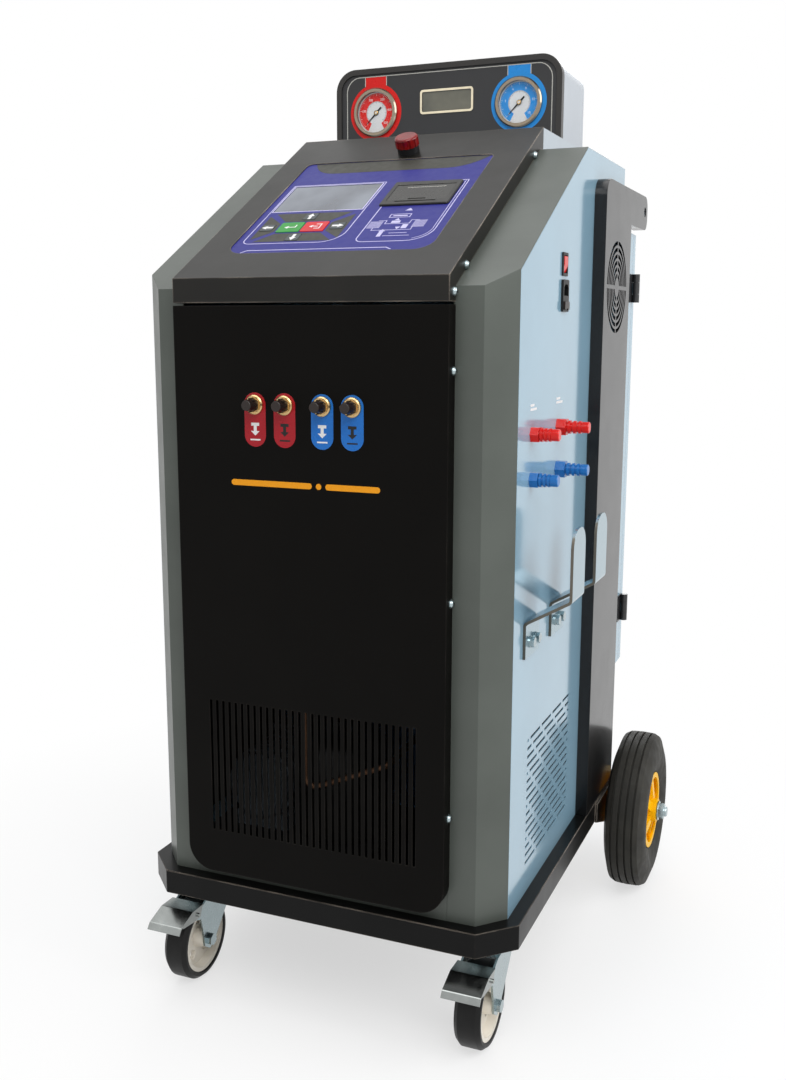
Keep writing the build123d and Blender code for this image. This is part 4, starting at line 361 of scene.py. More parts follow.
BEZEL_STEEL = metal("bezel_steel", (0.33, 0.275, 0.21, 1), 0.16, brush=200, spangle=0.15)
BRASS = metal("brass", (0.66, 0.46, 0.22, 1), 0.24, brush=120, spangle=0.2)
COPPER = metal("aged_copper", (0.16, 0.085, 0.050, 1), 0.4, brush=50, spangle=0.4)
ALUMINIUM = metal("aluminium", (0.52, 0.53, 0.54, 1), 0.34, brush=120, spangle=0.2)
TYRE = rubber("tyre_rubber", (0.020, 0.019, 0.016, 1), 0.6, 0.2)
RIM_YELLOW = plastic("rim_yellow_plastic", (0.95, 0.52, 0.004, 1), 0.34, shine=0.1)
HANDLE_PAINT = paint("handle_paint", (0.38, 0.44, 0.49, 1), 0.25, 700, 0.012, coat=0.3, dust=0.05)
TANK_PAINT = paint("tank_paint", (0.10, 0.22, 0.42, 1), 0.35, 600, 0.03)
PUMP_PAINT = paint("pump_paint", (0.16, 0.19, 0.22, 1), 0.4, 500, 0.05)
COMPRESSOR_PAINT = paint("compressor_paint", (0.010, 0.010, 0.010, 1), 0.35, 500, 0.05, shine=0.3)
WHITE_INK = print_ink("white_ink", (0.74, 0.74, 0.74, 1))
PALE_INK = print_ink("pale_ink", (0.46, 0.45, 0.41, 1))
BLACK_INK = print_ink("black_ink", (0.008, 0.008, 0.008, 1))
ORANGE_INK = print_ink("orange_ink", colour(230, 150, 12))
LABEL_RED = print_ink("label_red", colour(158, 16, 30), 0.25, 0.3)
LABEL_BLUE = print_ink("label_blue", colour(24, 104, 186), 0.25, 0.3)
DIAL_RED = print_ink("dial_red", colour(206, 26, 22), 0.3)
DIAL_BLUE = print_ink("dial_blue", colour(36, 132, 204), 0.3)
DIAL_WHITE = print_ink("dial_white", (0.58, 0.59, 0.60, 1), 0.4)
POD_PAINT = second_tone(
    paint("pod_paint", (0.38, 0.42, 0.47, 1), 0.22, 700, 0.008, coat=0.3, dust=0.05, shine=0.35),
    before_y(low("pod_housing").y + 13), (0.011, 0.0095, 0.008, 1), 0.42,
)
HOUSING_PAINT = second_tone(
    paint("housing_paint", (0.215, 0.375, 0.485, 1), 0.16, 700, 0.008, coat=0.5, dust=0.04, shine=0.35),
    beyond_x(high("side_panel_right").x + 5.7), (0.010, 0.010, 0.011, 1), 0.4,
)
# The darker colour on the hook strips' edges that look along y is a painted reflection of dark surroundings
HOOK_STEEL = second_tone(
    metal("hook_steel", (0.37, 0.49, 0.55, 1), 0.2, (1, 6, 1), 90, 0.12), edges_along_y, (0.13, 0.12, 0.10, 1), 0.38,
)
CASTER_MIDDLE = (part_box("caster_wheel_right")[0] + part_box("caster_wheel_right")[1]) / (2 * MM)
CASTER_WHEEL = second_tone(
    rubber("caster_wheel_rubber", (0.006, 0.006, 0.006, 1), 0.42, 0.2),
    inside_radius(CASTER_MIDDLE.y, CASTER_MIDDLE.z, 51.05), (0.80, 0.75, 0.66, 1), 0.36,
)


def lamp_red():
    """Clear red moulding that lets light through."""
    shader = Shader("lamp_red")
    veins = shader.ramp(shader.noise(60, 3), 0.3, 0, 0.7, 1)
    shader.link(shader.blend(veins, (0.16, 0.001, 0.002, 1), (0.34, 0.003, 0.003, 1)), shader.surface.inputs["Base Color"])
    shader.link(shader.ramp(shader.noise(90, 3), 0.3, 0.06, 0.7, 0.14), shader.surface.inputs["Roughness"])
    shader.set(transmission=0.25, specular=0.3)
    return shader.material


def glass():
    """Thin clear window with a faint smear."""
    shader = Shader("clear_window")
    smear = shader.ramp(shader.noise(25, 5, 0.7), 0.3, 0.02, 0.7, 0.07)
    shader.link(smear, shader.surface.inputs["Roughness"])
    shader.set(base=(1, 1, 1, 1), transmission=1.0, ior=1.12)
    return shader.material


def screen_grey():
    """Unlit liquid-crystal display: pale blue-grey, with light and dark clouds in its colour that are painted
    reflections.
    """
    shader = Shader("screen_grey")
    # Light and dark clouds in the colour: painted reflections
    cloud = shader.ramp(shader.noise(11, 3, 0.5, (1, 0.6, 1)), 0.35, 0, 0.65, 1)
    shader.link(shader.blend(cloud, colour(74, 80, 92), colour(112, 120, 132)), shader.surface.inputs["Base Color"])
    shader.link(shader.ramp(shader.noise(40, 4), 0.3, 0.08, 0.7, 0.16), shader.surface.inputs["Roughness"])
    shader.set(coat=0.5, coat_rough=0.05)
    return shader.material


def display_dark():
    """Unlit display behind a tinted window."""
    shader = Shader("display_dark")
    cloud = shader.ramp(shader.noise(18, 3), 0.35, 0, 0.65, 1)
    shader.link(shader.blend(cloud, colour(74, 74, 62), colour(98, 96, 82)), shader.surface.inputs["Base Color"])
    shader.link(shader.ramp(shader.noise(60, 4), 0.3, 0.06, 0.7, 0.12), shader.surface.inputs["Roughness"])
    shader.set(coat=0.6, coat_rough=0.03)
    return shader.material


LAMP_RED = lamp_red()
GLASS = glass()
SCREEN = screen_grey()
DISPLAY = display_dark()


def dress(name, material, bevel=0.0, crease=30):
    """Gives a carried-over node its finish, smooth curved faces and, if asked, softened edges."""
    obj = nodes[name]
    obj.data.materials.clear()
    obj.data.materials.append(material)
    weld = obj.modifiers.new("weld", "WELD")
    weld.merge_threshold = 0.00001
    if bevel > 0:
        edge = obj.modifiers.new("edges", "BEVEL")
        edge.width = bevel * MM
        edge.segments = 2
        edge.limit_method = "ANGLE"
        edge.angle_limit = radians(crease)
        edge.harden_normals = True
    split = obj.modifiers.new("split", "EDGE_SPLIT")
    split.split_angle = radians(max(crease, 46) if bevel > 0 else crease)
    split.use_edge_sharp = False
    for polygon in obj.data.polygons:
        polygon.use_smooth = True
    weighted = obj.modifiers.new("normals", "WEIGHTED_NORMAL")
    weighted.mode = "FACE_AREA"
    weighted.weight = 90


NODE_FINISH = {
    "base_tray": (BLACK_TRAY, 1.2),
    "corner_posts": (GREY_POST, 0.5),
    "side_panel_left": (BLUE_PANEL, 0),
    "side_panel_right": (BLUE_PANEL, 0),
    "top_cover": (PALE_TOP, 0.5),
    "front_panel": (BLACK_TEXTURED, 0),
    "control_hood": (BLACK_HOOD, 0.7),
    "keypad_overlay": (BLUE_FILM, 0),
    "control_board": (BLACK_PLASTIC, 0),
    "printer_body": (PRINTER_PLASTIC, 0.3),
    "printer_lid": (PRINTER_LID, 0.3),
    "alarm_lamp_base": (BLACK_PLASTIC, 0.4),
    "alarm_lamp_lens": (LAMP_RED, 0.5),
    "pod_housing": (POD_PAINT, 0.5),
    "pod_face": (POD_GREY, 0),
    "gauge_cases": (BEZEL_STEEL, 0),
    "gauge_dials": (DIAL_WHITE, 0),
    "needle_left": (BLACK_PLASTIC, 0),
    "needle_right": (BLACK_PLASTIC, 0),
    "port_fittings": (BRASS, 0.2),
    "port_caps": (CAP_PLASTIC, 0.2),
    "rocker_bezel": (BLACK_PLASTIC, 0.2),
    "rocker": (RED_PLASTIC, 0.3),
    "mains_inlet": (BLACK_PLASTIC, 0.3),
    "fuse_drawer": (CAP_PLASTIC, 0.2),
    "coupler_posts_red": (RED_PLASTIC, 0.2),
    "coupler_posts_blue": (BLUE_PLASTIC, 0.2),
    "hose_hooks": (HOOK_STEEL, 0.4),
    "hook_bolts": (ZINC, 0.2),
    "rear_columns": (BLACK_GLOSS, 0.6),
    "push_handle": (HANDLE_PAINT, 0),
    "fan_frame": (FAN_PLASTIC, 0.4),
    "fan_rotor": (FAN_PLASTIC, 0.2),
    "back_panel": (BLUE_PANEL, 0.4),
    "rear_housing": (HOUSING_PAINT, 0.4),
    "rear_door": (HOUSING_PAINT, 0.5),
    "rear_axle": (ZINC, 0.4),
    "rear_tyre_left": (TYRE, 0),
    "rear_tyre_right": (TYRE, 0),
    "rear_rim_left": (RIM_YELLOW, 0.5),
    "rear_rim_right": (RIM_YELLOW, 0.5),
    "caster_plates": (ZINC, 0.3),
    "caster_fork_left": (ZINC, 0.3),
    "caster_fork_right": (ZINC, 0.3),
    "caster_pedal_left": (CHROME, 0.2),
    "caster_pedal_right": (CHROME, 0.2),
    "caster_wheel_left": (CASTER_WHEEL, 0),
    "caster_wheel_right": (CASTER_WHEEL, 0),
    "refrigerant_tank": (TANK_PAINT, 0),
    "compressor": (COMPRESSOR_PAINT, 0),
    "vacuum_pump": (PUMP_PAINT, 0),
    "condenser": (ALUMINIUM, 0),
    "refrigerant_lines": (COPPER, 0),
    "filter_drier": (TANK_PAINT, 0),
    "key_enter": (KEY_GREEN, 0.2),
    "key_exit": (KEY_RED, 0.2),
    "key_up": (KEY_GREY, 0.2),
    "key_down": (KEY_GREY, 0.2),
    "key_left": (KEY_GREY, 0.2),
    "key_right": (KEY_GREY, 0.2),
}
for node_name, (finish, edge_width) in NODE_FINISH.items():
    dress(node_name, finish, edge_width)


# Mesh building for the new pieces

def new_piece(name, mesh, body, material, matrix=None, crease=30):
    """Links a bmesh as a named piece, in the machine's frame, riding on a body."""
    data = bpy.data.meshes.new(name)
    mesh.to_mesh(data)
    mesh.free()
    obj = bpy.data.objects.new(name, data)
    bpy.context.scene.collection.objects.link(obj)
    if matrix is not None:
        data.transform(matrix)
    materials = material if isinstance(material, (list, tuple)) else [material]
    for item in materials:
        data.materials.append(item)
    for polygon in data.polygons:
        polygon.use_smooth = True
    data.set_sharp_from_angle(angle=radians(crease))
    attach(obj, body)
    return obj


def arc(cx, cy, radius, start, end, steps):
    """Points of an arc, angles in degrees."""
    return [
        (cx + radius * cos(radians(start + (end - start) * i / steps)),
         cy + radius * sin(radians(start + (end - start) * i / steps)))
        for i in range(steps + 1)
    ]


def rounded(x0, x1, y0, y1, radius, steps=6):
    """Rectangle with rounded corners; radius is one value or (bottom left, bottom right, top right, top left)."""
    radii = (radius,) * 4 if isinstance(radius, (int, float)) else radius
    bl, br, tr, tl = radii
    return (
        arc(x0 + bl, y0 + bl, bl, 180, 270, steps)
        + arc(x1 - br, y0 + br, br, 270, 360, steps)
        + arc(x1 - tr, y1 - tr, tr, 0, 90, steps)
        + arc(x0 + tl, y1 - tl, tl, 90, 180, steps)
    )


def slab(mesh, outline, z0, z1, index=0):
    """Adds a flat-topped solid over an outline."""
    bottom = [mesh.verts.new((x * MM, y * MM, z0 * MM)) for x, y in outline]
    top = [mesh.verts.new((x * MM, y * MM, z1 * MM)) for x, y in outline]
    faces = [mesh.faces.new(top), mesh.faces.new(bottom[::-1])]
    count = len(outline)
    for i in range(count):
        j = (i + 1) % count
        faces.append(mesh.faces.new((bottom[i], bottom[j], top[j], top[i])))
    for face in faces:
        face.material_index = index


def band(mesh, outer, inner, z0, z1, index=0):
    """Adds a closed flat ring between two outlines with as many points each."""
    rows = []
    for outline, z in ((outer, z0), (outer, z1), (inner, z1), (inner, z0)):
        rows.append([mesh.verts.new((x * MM, y * MM, z * MM)) for x, y in outline])
    count = len(outer)
    for i in range(count):
        j = (i + 1) % count
        for a, b in ((0, 1), (1, 2), (2, 3), (3, 0)):
            face = mesh.faces.new((rows[a][i], rows[a][j], rows[b][j], rows[b][i]))
            face.material_index = index


def ribbon(points, width):
    """Outline of an open line of the given width, with mitred corners."""
    left, right = [], []
    count = len(points)
    for i, (x, y) in enumerate(points):
        before = points[max(i - 1, 0)]
        after = points[min(i + 1, count - 1)]
        first = Vector((x - before[0], y - before[1]))
        second = Vector((after[0] - x, after[1] - y))
        if first.length == 0:
            first = second
        if second.length == 0:
            second = first
        normal = (first.normalized() + second.normalized()).normalized()
        reach = width / 2 / max(0.35, normal.dot(first.normalized()))
        left.append((x - normal.y * reach, y + normal.x * reach))
        right.append((x + normal.y * reach, y - normal.x * reach))
    return left + right[::-1]


def flat_print(name, plane, shapes, material, lift=0.0, body="cabinet"):
    """Printed film: outlines in plane millimetres, standing on the sheet."""
    mesh = bmesh.new()
    for outline in shapes:
        slab(mesh, outline, lift, lift + PRINT)
    bmesh.ops.recalc_face_normals(mesh, faces=mesh.faces)
    return new_piece(name, mesh, body, material, plane)


def flat_band(name, plane, pairs, material, lift=0.0, body="cabinet"):
    """Printed closed lines, each between an outer and an inner outline."""
    mesh = bmesh.new()
    for outer, inner in pairs:
        band(mesh, outer, inner, lift, lift + PRINT)
    bmesh.ops.recalc_face_normals(mesh, faces=mesh.faces)
    return new_piece(name, mesh, body, material, plane)


# Surfaces of the carried-over nodes, for seating the details

TREES = {}


def seat(node, plane, x, y):
    """Height in millimetres over a plane at which a node's outer surface lies at that point."""
    if node not in TREES:
        mesh = nodes[node].data
        corners = [vertex.co.copy() for vertex in mesh.vertices]
        TREES[node] = BVHTree.FromPolygons(corners, [tuple(polygon.vertices) for polygon in mesh.polygons])
    start = plane @ (Vector((x, y, 400)) * MM)
    direction = plane.to_3x3() @ Vector((0, 0, -1))
    hit = TREES[node].ray_cast(start, direction)[0]
    return (plane.inverted() @ hit).z / MM


def curve_points(start, control, end, steps=8):
    """Points of a simple curve that leaves start towards control and arrives at end."""
    points = []
    for i in range(steps + 1):
        t = i / steps
        points.append(tuple(
            (1 - t) ** 2 * a + 2 * t * (1 - t) * b + t * t * c for a, b, c in zip(start, control, end)
        ))
    return points


def moved(outline, dx, dy, turn=0.0):
    """An outline turned by degrees about its origin and then moved."""
    c = cos(radians(turn))
    n = sin(radians(turn))
    return [(dx + x * c - y * n, dy + x * n + y * c) for x, y in outline]


def box_outline(x0, x1, y0, y1):
    return [(x0, y0), (x1, y0), (x1, y1), (x0, y1)]


def turned(mesh, profile, x, y, steps=32, index=0):
    """Adds a turned solid: (radius, height) points about an axis along local z."""
    rings = []
    for radius, height in profile:
        if radius == 0:
            rings.append([mesh.verts.new((x * MM, y * MM, height * MM))])
            continue
        ring = []
        for i in range(steps):
            angle = 2 * pi * i / steps
            ring.append(mesh.verts.new(((x + radius * cos(angle)) * MM, (y + radius * sin(angle)) * MM, height * MM)))
        rings.append(ring)
    for lower, upper in zip(rings, rings[1:]):
        for i in range(steps):
            j = (i + 1) % steps
            if len(lower) == 1 and len(upper) == 1:
                continue
            if len(lower) == 1:
                face = mesh.faces.new((lower[0], upper[i], upper[j]))
            elif len(upper) == 1:
                face = mesh.faces.new((lower[i], lower[j], upper[0]))
            else:
                face = mesh.faces.new((lower[i], lower[j], upper[j], upper[i]))
            face.material_index = index


# Control face

FACE_LIFT = seat("keypad_overlay", HOOD, -148, 300)
LCD_CENTRE = (-67.5, 244.0)
LCD_SIZE = (141.0, 86.0)
PRINTER_CENTRE = (77.5, 244.0)
KEY_BLOCK = (-104.0, -30.5, 133.5, 163.5)
ARROW_KEYS = {"key_up": (-68.0, 181.0, 90), "key_down": (-68.0, 116.5, 270),
              "key_left": (-122.0, 148.5, 180), "key_right": (-13.0, 148.5, 0)}
KEY_HOLE = 19.6
ENTER_CENTRE = (-86.0, 148.5)
EXIT_CENTRE = (-48.5, 148.5)
ARROW = [(-8.6, -2.3), (0.8, -2.3), (0.8, -5.2), (8.8, 0), (0.8, 5.2), (0.8, 2.3), (-8.6, 2.3)]
LAVENDER_INK = print_ink("lavender_ink", colour(190, 186, 222))
PAD_INK = print_ink("pad_ink", colour(60, 60, 55), 0.45, 0.15)


def print_header():
    """Dark band across the top of the face with swept ends."""
    left = curve_points((-138, 369.4), (-124, 331), (-92, 331))
    right = curve_points((88, 331), (122, 333), (144, 369.4))
    flat_print("header_band", HOOD, [left + right], PAD_INK, FACE_LIFT)


def frame_lines(x0, x1, y0, y1, radii, width):
    inner = tuple(max(radius - width, 0.2) for radius in radii)
    return (rounded(x0, x1, y0, y1, radii), rounded(x0 + width, x1 - width, y0 + width, y1 - width, inner))


def print_outlines():
    """Fine frames round the display half and the printer half, and the rule near the lower edge."""
    pairs = [
        frame_lines(-142, 8, 99.5, 291.5, (12, 32, 2, 2), 1.4),
        frame_lines(30, 136, 97, 286.5, (12, 34, 3, 3), 1.4),
    ]
    flat_band("face_outlines", HOOD, pairs, LAVENDER_INK, FACE_LIFT)
    rule = ribbon([(-130, 73.5), (-122, 80), (84, 80), (92, 74.5)], 1.6)
    second = ribbon([(131.5, 286.5)] + arc(101.5, 133, 30, 0, -72, 9), 0.9)
    flat_print("face_rule", HOOD, [rule, second], LAVENDER_INK, FACE_LIFT)


def print_key_pads():
    """Four dark fields round the two middle keys, mitred at the corners and cut out for the arrow keys."""
    x0, x1, y0, y1 = -134.0, 0.0, 105.5, 193.5
    bx0, bx1, by0, by1 = KEY_BLOCK
    gap = 2.4
    half = KEY_HOLE / 2
    shapes = []
    for name, outer_y, inner_y in (("key_up", y1, by1 + 3), ("key_down", y0, by0 - 3)):
        kx, ky, _ = ARROW_KEYS[name]
        shapes.append([(x0 + 3 * gap, outer_y), (kx - half, outer_y), (kx - half, inner_y), (bx0 + gap, inner_y)])
        shapes.append([(x1 - 3 * gap, outer_y), (kx + half, outer_y), (kx + half, inner_y), (bx1 - gap, inner_y)])
        for edge, rim in ((outer_y, ky + half if outer_y > ky else ky - half),
                          (inner_y, ky - half if outer_y > ky else ky + half)):
            shapes.append(box_outline(kx - half, kx + half, min(edge, rim), max(edge, rim)))
    for name, outer_x, inner_x in (("key_left", x0, bx0 - 3), ("key_right", x1, bx1 + 3)):
        kx, ky, _ = ARROW_KEYS[name]
        shapes.append([(outer_x, y1 - 3 * gap), (outer_x, ky + half), (inner_x, ky + half), (inner_x, by1 - gap)])
        shapes.append([(outer_x, y0 + 3 * gap), (outer_x, ky - half), (inner_x, ky - half), (inner_x, by0 + gap)])
        near = kx - half if outer_x < kx else kx + half
        far = kx + half if outer_x < kx else kx - half
        for edge, rim in ((outer_x, near), (inner_x, far)):
            if abs(edge - rim) > 0.2:
                shapes.append(box_outline(min(edge, rim), max(edge, rim), ky - half, ky + half))
    flat_print("key_fields", HOOD, shapes, PAD_INK, FACE_LIFT)


def print_key_marks():
    """White arrows on the four arrow keys and plain symbols on the green and the red key."""
    for name, (x, y, turn) in ARROW_KEYS.items():
        lift = seat(name, HOOD, x, y)
        flat_print(name + "_mark", HOOD, [moved(ARROW, x, y, turn)], WHITE_INK, lift, name)
    x, y = ENTER_CENTRE
    lift = seat("key_enter", HOOD, x, y)
    hook = ribbon([(x + 8, y + 6), (x + 8, y - 1), (x - 3, y - 1)], 1.8)
    head = moved([(0, 4), (-6, 0), (0, -4)], x - 3, y - 1)
    flat_print("key_enter_mark", HOOD, [hook, head], WHITE_INK, lift, "key_enter")
    x, y = EXIT_CENTRE
    lift = seat("key_exit", HOOD, x, y)
    door = ribbon([(x + 1, y + 6.5), (x + 9, y + 6.5), (x + 9, y - 6.5), (x + 1, y - 6.5)], 1.6)
    stem = box_outline(x - 3, x + 5, y - 0.9, y + 0.9)
    head = moved([(0, 3.6), (-5.5, 0), (0, -3.6)], x - 3, y)
    flat_print("key_exit_mark", HOOD, [door, stem, head], WHITE_INK, lift, "key_exit")


def print_flow_diagram():
    """Plain circuit diagram: two heat exchangers, a compressor, a valve and the lines between them."""
    lines = [
        box_outline(55, 86, 169, 170.2), box_outline(55, 86, 178.8, 180), box_outline(55, 56.2, 170.2, 178.8),
        box_outline(84.8, 86, 170.2, 178.8), box_outline(60, 81, 173, 176),
        ribbon([(44, 160), (56, 160), (56, 150), (92, 150), (92, 160), (104, 160)], 1.1),
        ribbon([(43, 138), (43, 131), (100, 131), (100, 140)], 1.1),
        box_outline(64, 77, 152, 159), moved([(-4, 0), (4, 0), (0, 6)], 70.5, 160.5),
        box_outline(84, 92, 135, 147), box_outline(57, 63, 112, 127), moved([(-5, 0), (5, 0), (0, 6)], 60, 127.5),
        box_outline(72, 98, 121, 122.2), box_outline(66, 104, 113, 114.2), moved([(-4, 4), (4, 4), (0, -3)], 79, 136),
        moved([(-5.5, 0), (5.5, 0), (0, 8)], 77.5, 190),
    ]
    for i in range(7):
        lines.append(box_outline(33, 52, 138 + 3 * i, 139.4 + 3 * i))
        lines.append(box_outline(98, 116, 139 + 3 * i, 140.4 + 3 * i))
    flat_print("flow_diagram", HOOD, lines, LAVENDER_INK, FACE_LIFT)


def lcd():
    """Display window with its pale surround and the screen."""
    x, y = LCD_CENTRE
    w, h = LCD_SIZE
    pair = (
        rounded(x - w / 2 - 1.6, x + w / 2 + 1.6, y - h / 2 - 1.6, y + h / 2 + 1.6, 1.2),
        rounded(x - w / 2 + 0.1, x + w / 2 - 0.1, y - h / 2 + 0.1, y + h / 2 - 0.1, 0.4),
    )
    flat_band("display_surround", HOOD, [pair], LAVENDER_INK, FACE_LIFT)
    lift = seat("control_board", HOOD, x, y)
    screen = rounded(x - w / 2 + 0.6, x + w / 2 - 0.6, y - h / 2 + 0.6, y + h / 2 - 0.6, 0.5)
    flat_print("display_screen", HOOD, [screen], SCREEN, lift)


def printer_highlight_line():
    """Pale line near the top of the printer lid, a painted highlight along a groove."""
    x, y = PRINTER_CENTRE
    lift = seat("printer_lid", HOOD, x, y + 10)
    flat_print("printer_lid_highlight", HOOD, [box_outline(x - 26, x + 32, y + 16, y + 17.2)], PALE_INK, lift,
               "printer_lid")


print_header()
print_outlines()
print_key_pads()
print_key_marks()
print_flow_diagram()
lcd()
printer_highlight_line()


# Front panel

FRONT_STRIP_Y = high("side_panel_right").y - 626.0
PORT_X = (-75.0, -31.0, 24.0, 67.0)
PORT_Z = 890.0
PILL_HALF = 16.0
PILL_TOP = 906.0
PILL_BOTTOM = 834.0


def port_labels():
    """Coloured pills under the ports, with a plain arrow and a rule on each."""
    lift = seat("front_panel", FRONT, 0, 700)
    marks = {"white": [], "dark": []}
    pills = {"red": [], "blue": []}
    for i, x in enumerate(PORT_X):
        pills["red" if i < 2 else "blue"].append(
            rounded(x - PILL_HALF, x + PILL_HALF, PILL_BOTTOM, PILL_TOP, PILL_HALF - 0.1, 10))
        target = marks["white" if i % 2 == 0 else "dark"]
        target.append([(x - 6, 866), (x - 6, 862), (x - 2.2, 862), (x - 2.2, 855), (x - 6.5, 855), (x, 849),
                       (x + 6.5, 855), (x + 2.2, 855), (x + 2.2, 862), (x + 6, 862), (x + 6, 866)])
        target.append(box_outline(x - 7.5, x + 7.5, 842.5, 844.5))
    flat_print("port_labels_red", FRONT, pills["red"], LABEL_RED, lift)
    flat_print("port_labels_blue", FRONT, pills["blue"], LABEL_BLUE, lift)
    flat_print("port_marks_white", FRONT, marks["white"], WHITE_INK, lift + PRINT)
    flat_print("port_marks_dark", FRONT, marks["dark"], BLACK_INK, lift + PRINT)


def orange_rule():
    """Plain orange rule under the ports."""
    lift = seat("front_panel", FRONT, 0, 700)
    shapes = [
        rounded(-113, 8, 781, 789, 3.9),
        arc(18, 785, 4, 0, 345, 23),
        rounded(28, 106, 781, 789, 3.9),
    ]
    flat_print("front_rule", FRONT, shapes, ORANGE_INK, lift)


def front_sill():
    """Grey cross strip of the cabinet under and behind the foot of the front panel."""
    inner = high("front_panel").x - 3.1
    bottom = low("corner_posts").z
    top = low("front_panel").z + 23
    back = FRONT_STRIP_Y - low("front_panel").y
    mesh = bmesh.new()
    slab(mesh, rounded(-inner, inner, bottom + 0.1, top, 0.6, 3), -back - 1.5, -back)
    bmesh.ops.recalc_face_normals(mesh, faces=mesh.faces)
    new_piece("front_sill", mesh, "cabinet", GREY_POST, FRONT)


port_labels()
orange_rule()
front_sill()


# Screws that hold the covers

SCREW_DOME = [(0, 0), (6.2, 0), (6.2, 0.7), (5.2, 0.8), (5.0, 2.4), (3.9, 3.8), (2.0, 4.6), (0, 4.8)]


def screws(name, plane, places, node):
    """Round-headed screws with a washer, and a black cross on each head, painted shade that stands in for the cross
    recess.
    """
    mesh = bmesh.new()
    for x, y in places:
        lift = seat(node, plane, x, y)
        turned(mesh, [(radius, height + lift) for radius, height in SCREW_DOME], x, y, 24)
        # Black cross on the head: painted shade of the recess
        for turn in (20, 110):
            slab(mesh, moved(box_outline(-2.2, 2.2, -0.45, 0.45), x, y, turn), lift + 4.2, lift + 4.84, 1)
    bmesh.ops.recalc_face_normals(mesh, faces=mesh.faces)
    new_piece(name, mesh, "cabinet", [ZINC, BLACK_INK], plane, 40)


def cover_screws():
    panel_x = high("front_panel").x
    mid = FRONT_STRIP_Y - 7
    for side, sign in (("right", 1), ("left", -1)):
        plane = plane_matrix((sign * panel_x, 0, 0), (0, sign, 0), (0, 0, 1))
        panel_places = [(sign * mid, z) for z in (938, 641, 347)]
        screws("panel_screws_" + side, plane, panel_places, "front_panel")
        hood_places = [(sign * mid, 1035), (sign * (FRONT_STRIP_Y + 36), 1068.5), (sign * (FRONT_STRIP_Y + 333), 1238.5)]
        screws("hood_screws_" + side, plane, hood_places, "control_hood")


cover_screws()


# Gauge pod

GAUGE_X = 124.0
GAUGE_Z = 1344.0
RING_R = 46.0
TAB_HALF = 18.5
TAB_TOP = 1400.5
DISPLAY_CENTRE = (1.5, 1355.0)
DISPLAY_SIZE = (92.0, 38.0)


def sector(cx, cy, outer, inner, start, end, steps):
    """Outline of a ring's part between two angles in degrees."""
    return arc(cx, cy, outer, start, end, steps) + arc(cx, cy, inner, end, start, steps)


def gauge_prints(side, x, ink, slot_name):
    """Coloured ring and tab on the face, and the scale of the dial."""
    face = seat("pod_face", POD, x, TAB_TOP - 12)
    reach = asin(TAB_HALF / RING_R) * 180 / pi
    ring = (arc(x, GAUGE_Z, RING_R, 0, 354, 59), arc(x, GAUGE_Z, 36.6, 0, 354, 59))
    flat_band("gauge_ring_" + side, POD, [ring], ink, face)
    tab = arc(x, GAUGE_Z, RING_R, 90 - reach, 90 + reach, 10) + [(x - TAB_HALF, TAB_TOP), (x + TAB_HALF, TAB_TOP)]
    flat_print("gauge_tab_" + side, POD, [tab], ink, face)
    edge_low = GAUGE_Z + RING_R * cos(radians(reach))
    edges = [box_outline(x + dx - 0.6, x + dx + 0.6, edge_low, TAB_TOP) for dx in (-TAB_HALF - 0.6, TAB_HALF + 0.6)]
    flat_print("gauge_tab_edges_" + side, POD, edges, PALE_INK, face)
    dial = seat("gauge_dials", POD, x, GAUGE_Z + 28)
    fields = [sector(x, GAUGE_Z, 31.5, 18.5, -62, 242, 76)]
    flat_print("dial_field_" + side, POD, fields, ink, dial)
    ticks = []
    for i in range(51):
        angle = 225 - 270 * i / 50
        length = 3.4 if i % 5 == 0 else 1.8
        width = 0.55 if i % 5 == 0 else 0.3
        ticks.append(moved(box_outline(30.6 - length, 30.6, -width / 2, width / 2), x, GAUGE_Z, angle))
    flat_print("dial_ticks_" + side, POD, ticks, WHITE_INK, dial + PRINT)
    inner = []
    for i in range(31):
        angle = 225 - 270 * i / 30
        length = 2.6 if i % 5 == 0 else 1.4
        inner.append(moved(box_outline(17.6 - length, 17.6, -0.2, 0.2), x, GAUGE_Z, angle))
    inner.append(sector(x, GAUGE_Z, 17.9, 17.6, -45, 225, 60))
    flat_print("dial_inner_ticks_" + side, POD, inner, BLACK_INK, dial)


def dial_numbers(side, x, step):
    """Plain numbers round a dial."""
    dial = seat("gauge_dials", POD, x, GAUGE_Z + 28)
    for i in range(6):
        angle = radians(225 - 54 * i)
        data = bpy.data.curves.new(f"dial_number_{side}_{i}", "FONT")
        data.body = str(i * step)
        data.size = 5.2 * MM
        data.align_x = "CENTER"
        data.align_y = "CENTER"
        data.extrude = 0.05 * MM
        data.materials.append(WHITE_INK)
        obj = bpy.data.objects.new(data.name, data)
        bpy.context.scene.collection.objects.link(obj)
        place = Vector((x + 23.4 * cos(angle), GAUGE_Z + 23.4 * sin(angle), dial + PRINT + 0.06)) * MM
        obj.matrix_world = POD @ Matrix.Translation(place)
        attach(obj, "cabinet")


def gauge_glass(side, x):
    """Clear lens held in the bezel."""
    mesh = bmesh.new()
    rim = seat("gauge_cases", POD, x + 36, GAUGE_Z)
    turned(mesh, [(0, rim - 2.6), (32.4, rim - 2.6), (32.4, rim - 1.6), (0, rim - 1.5)], x, GAUGE_Z, 48)
    bmesh.ops.recalc_face_normals(mesh, faces=mesh.faces)
    new_piece("gauge_glass_" + side, mesh, "cabinet", GLASS, POD)


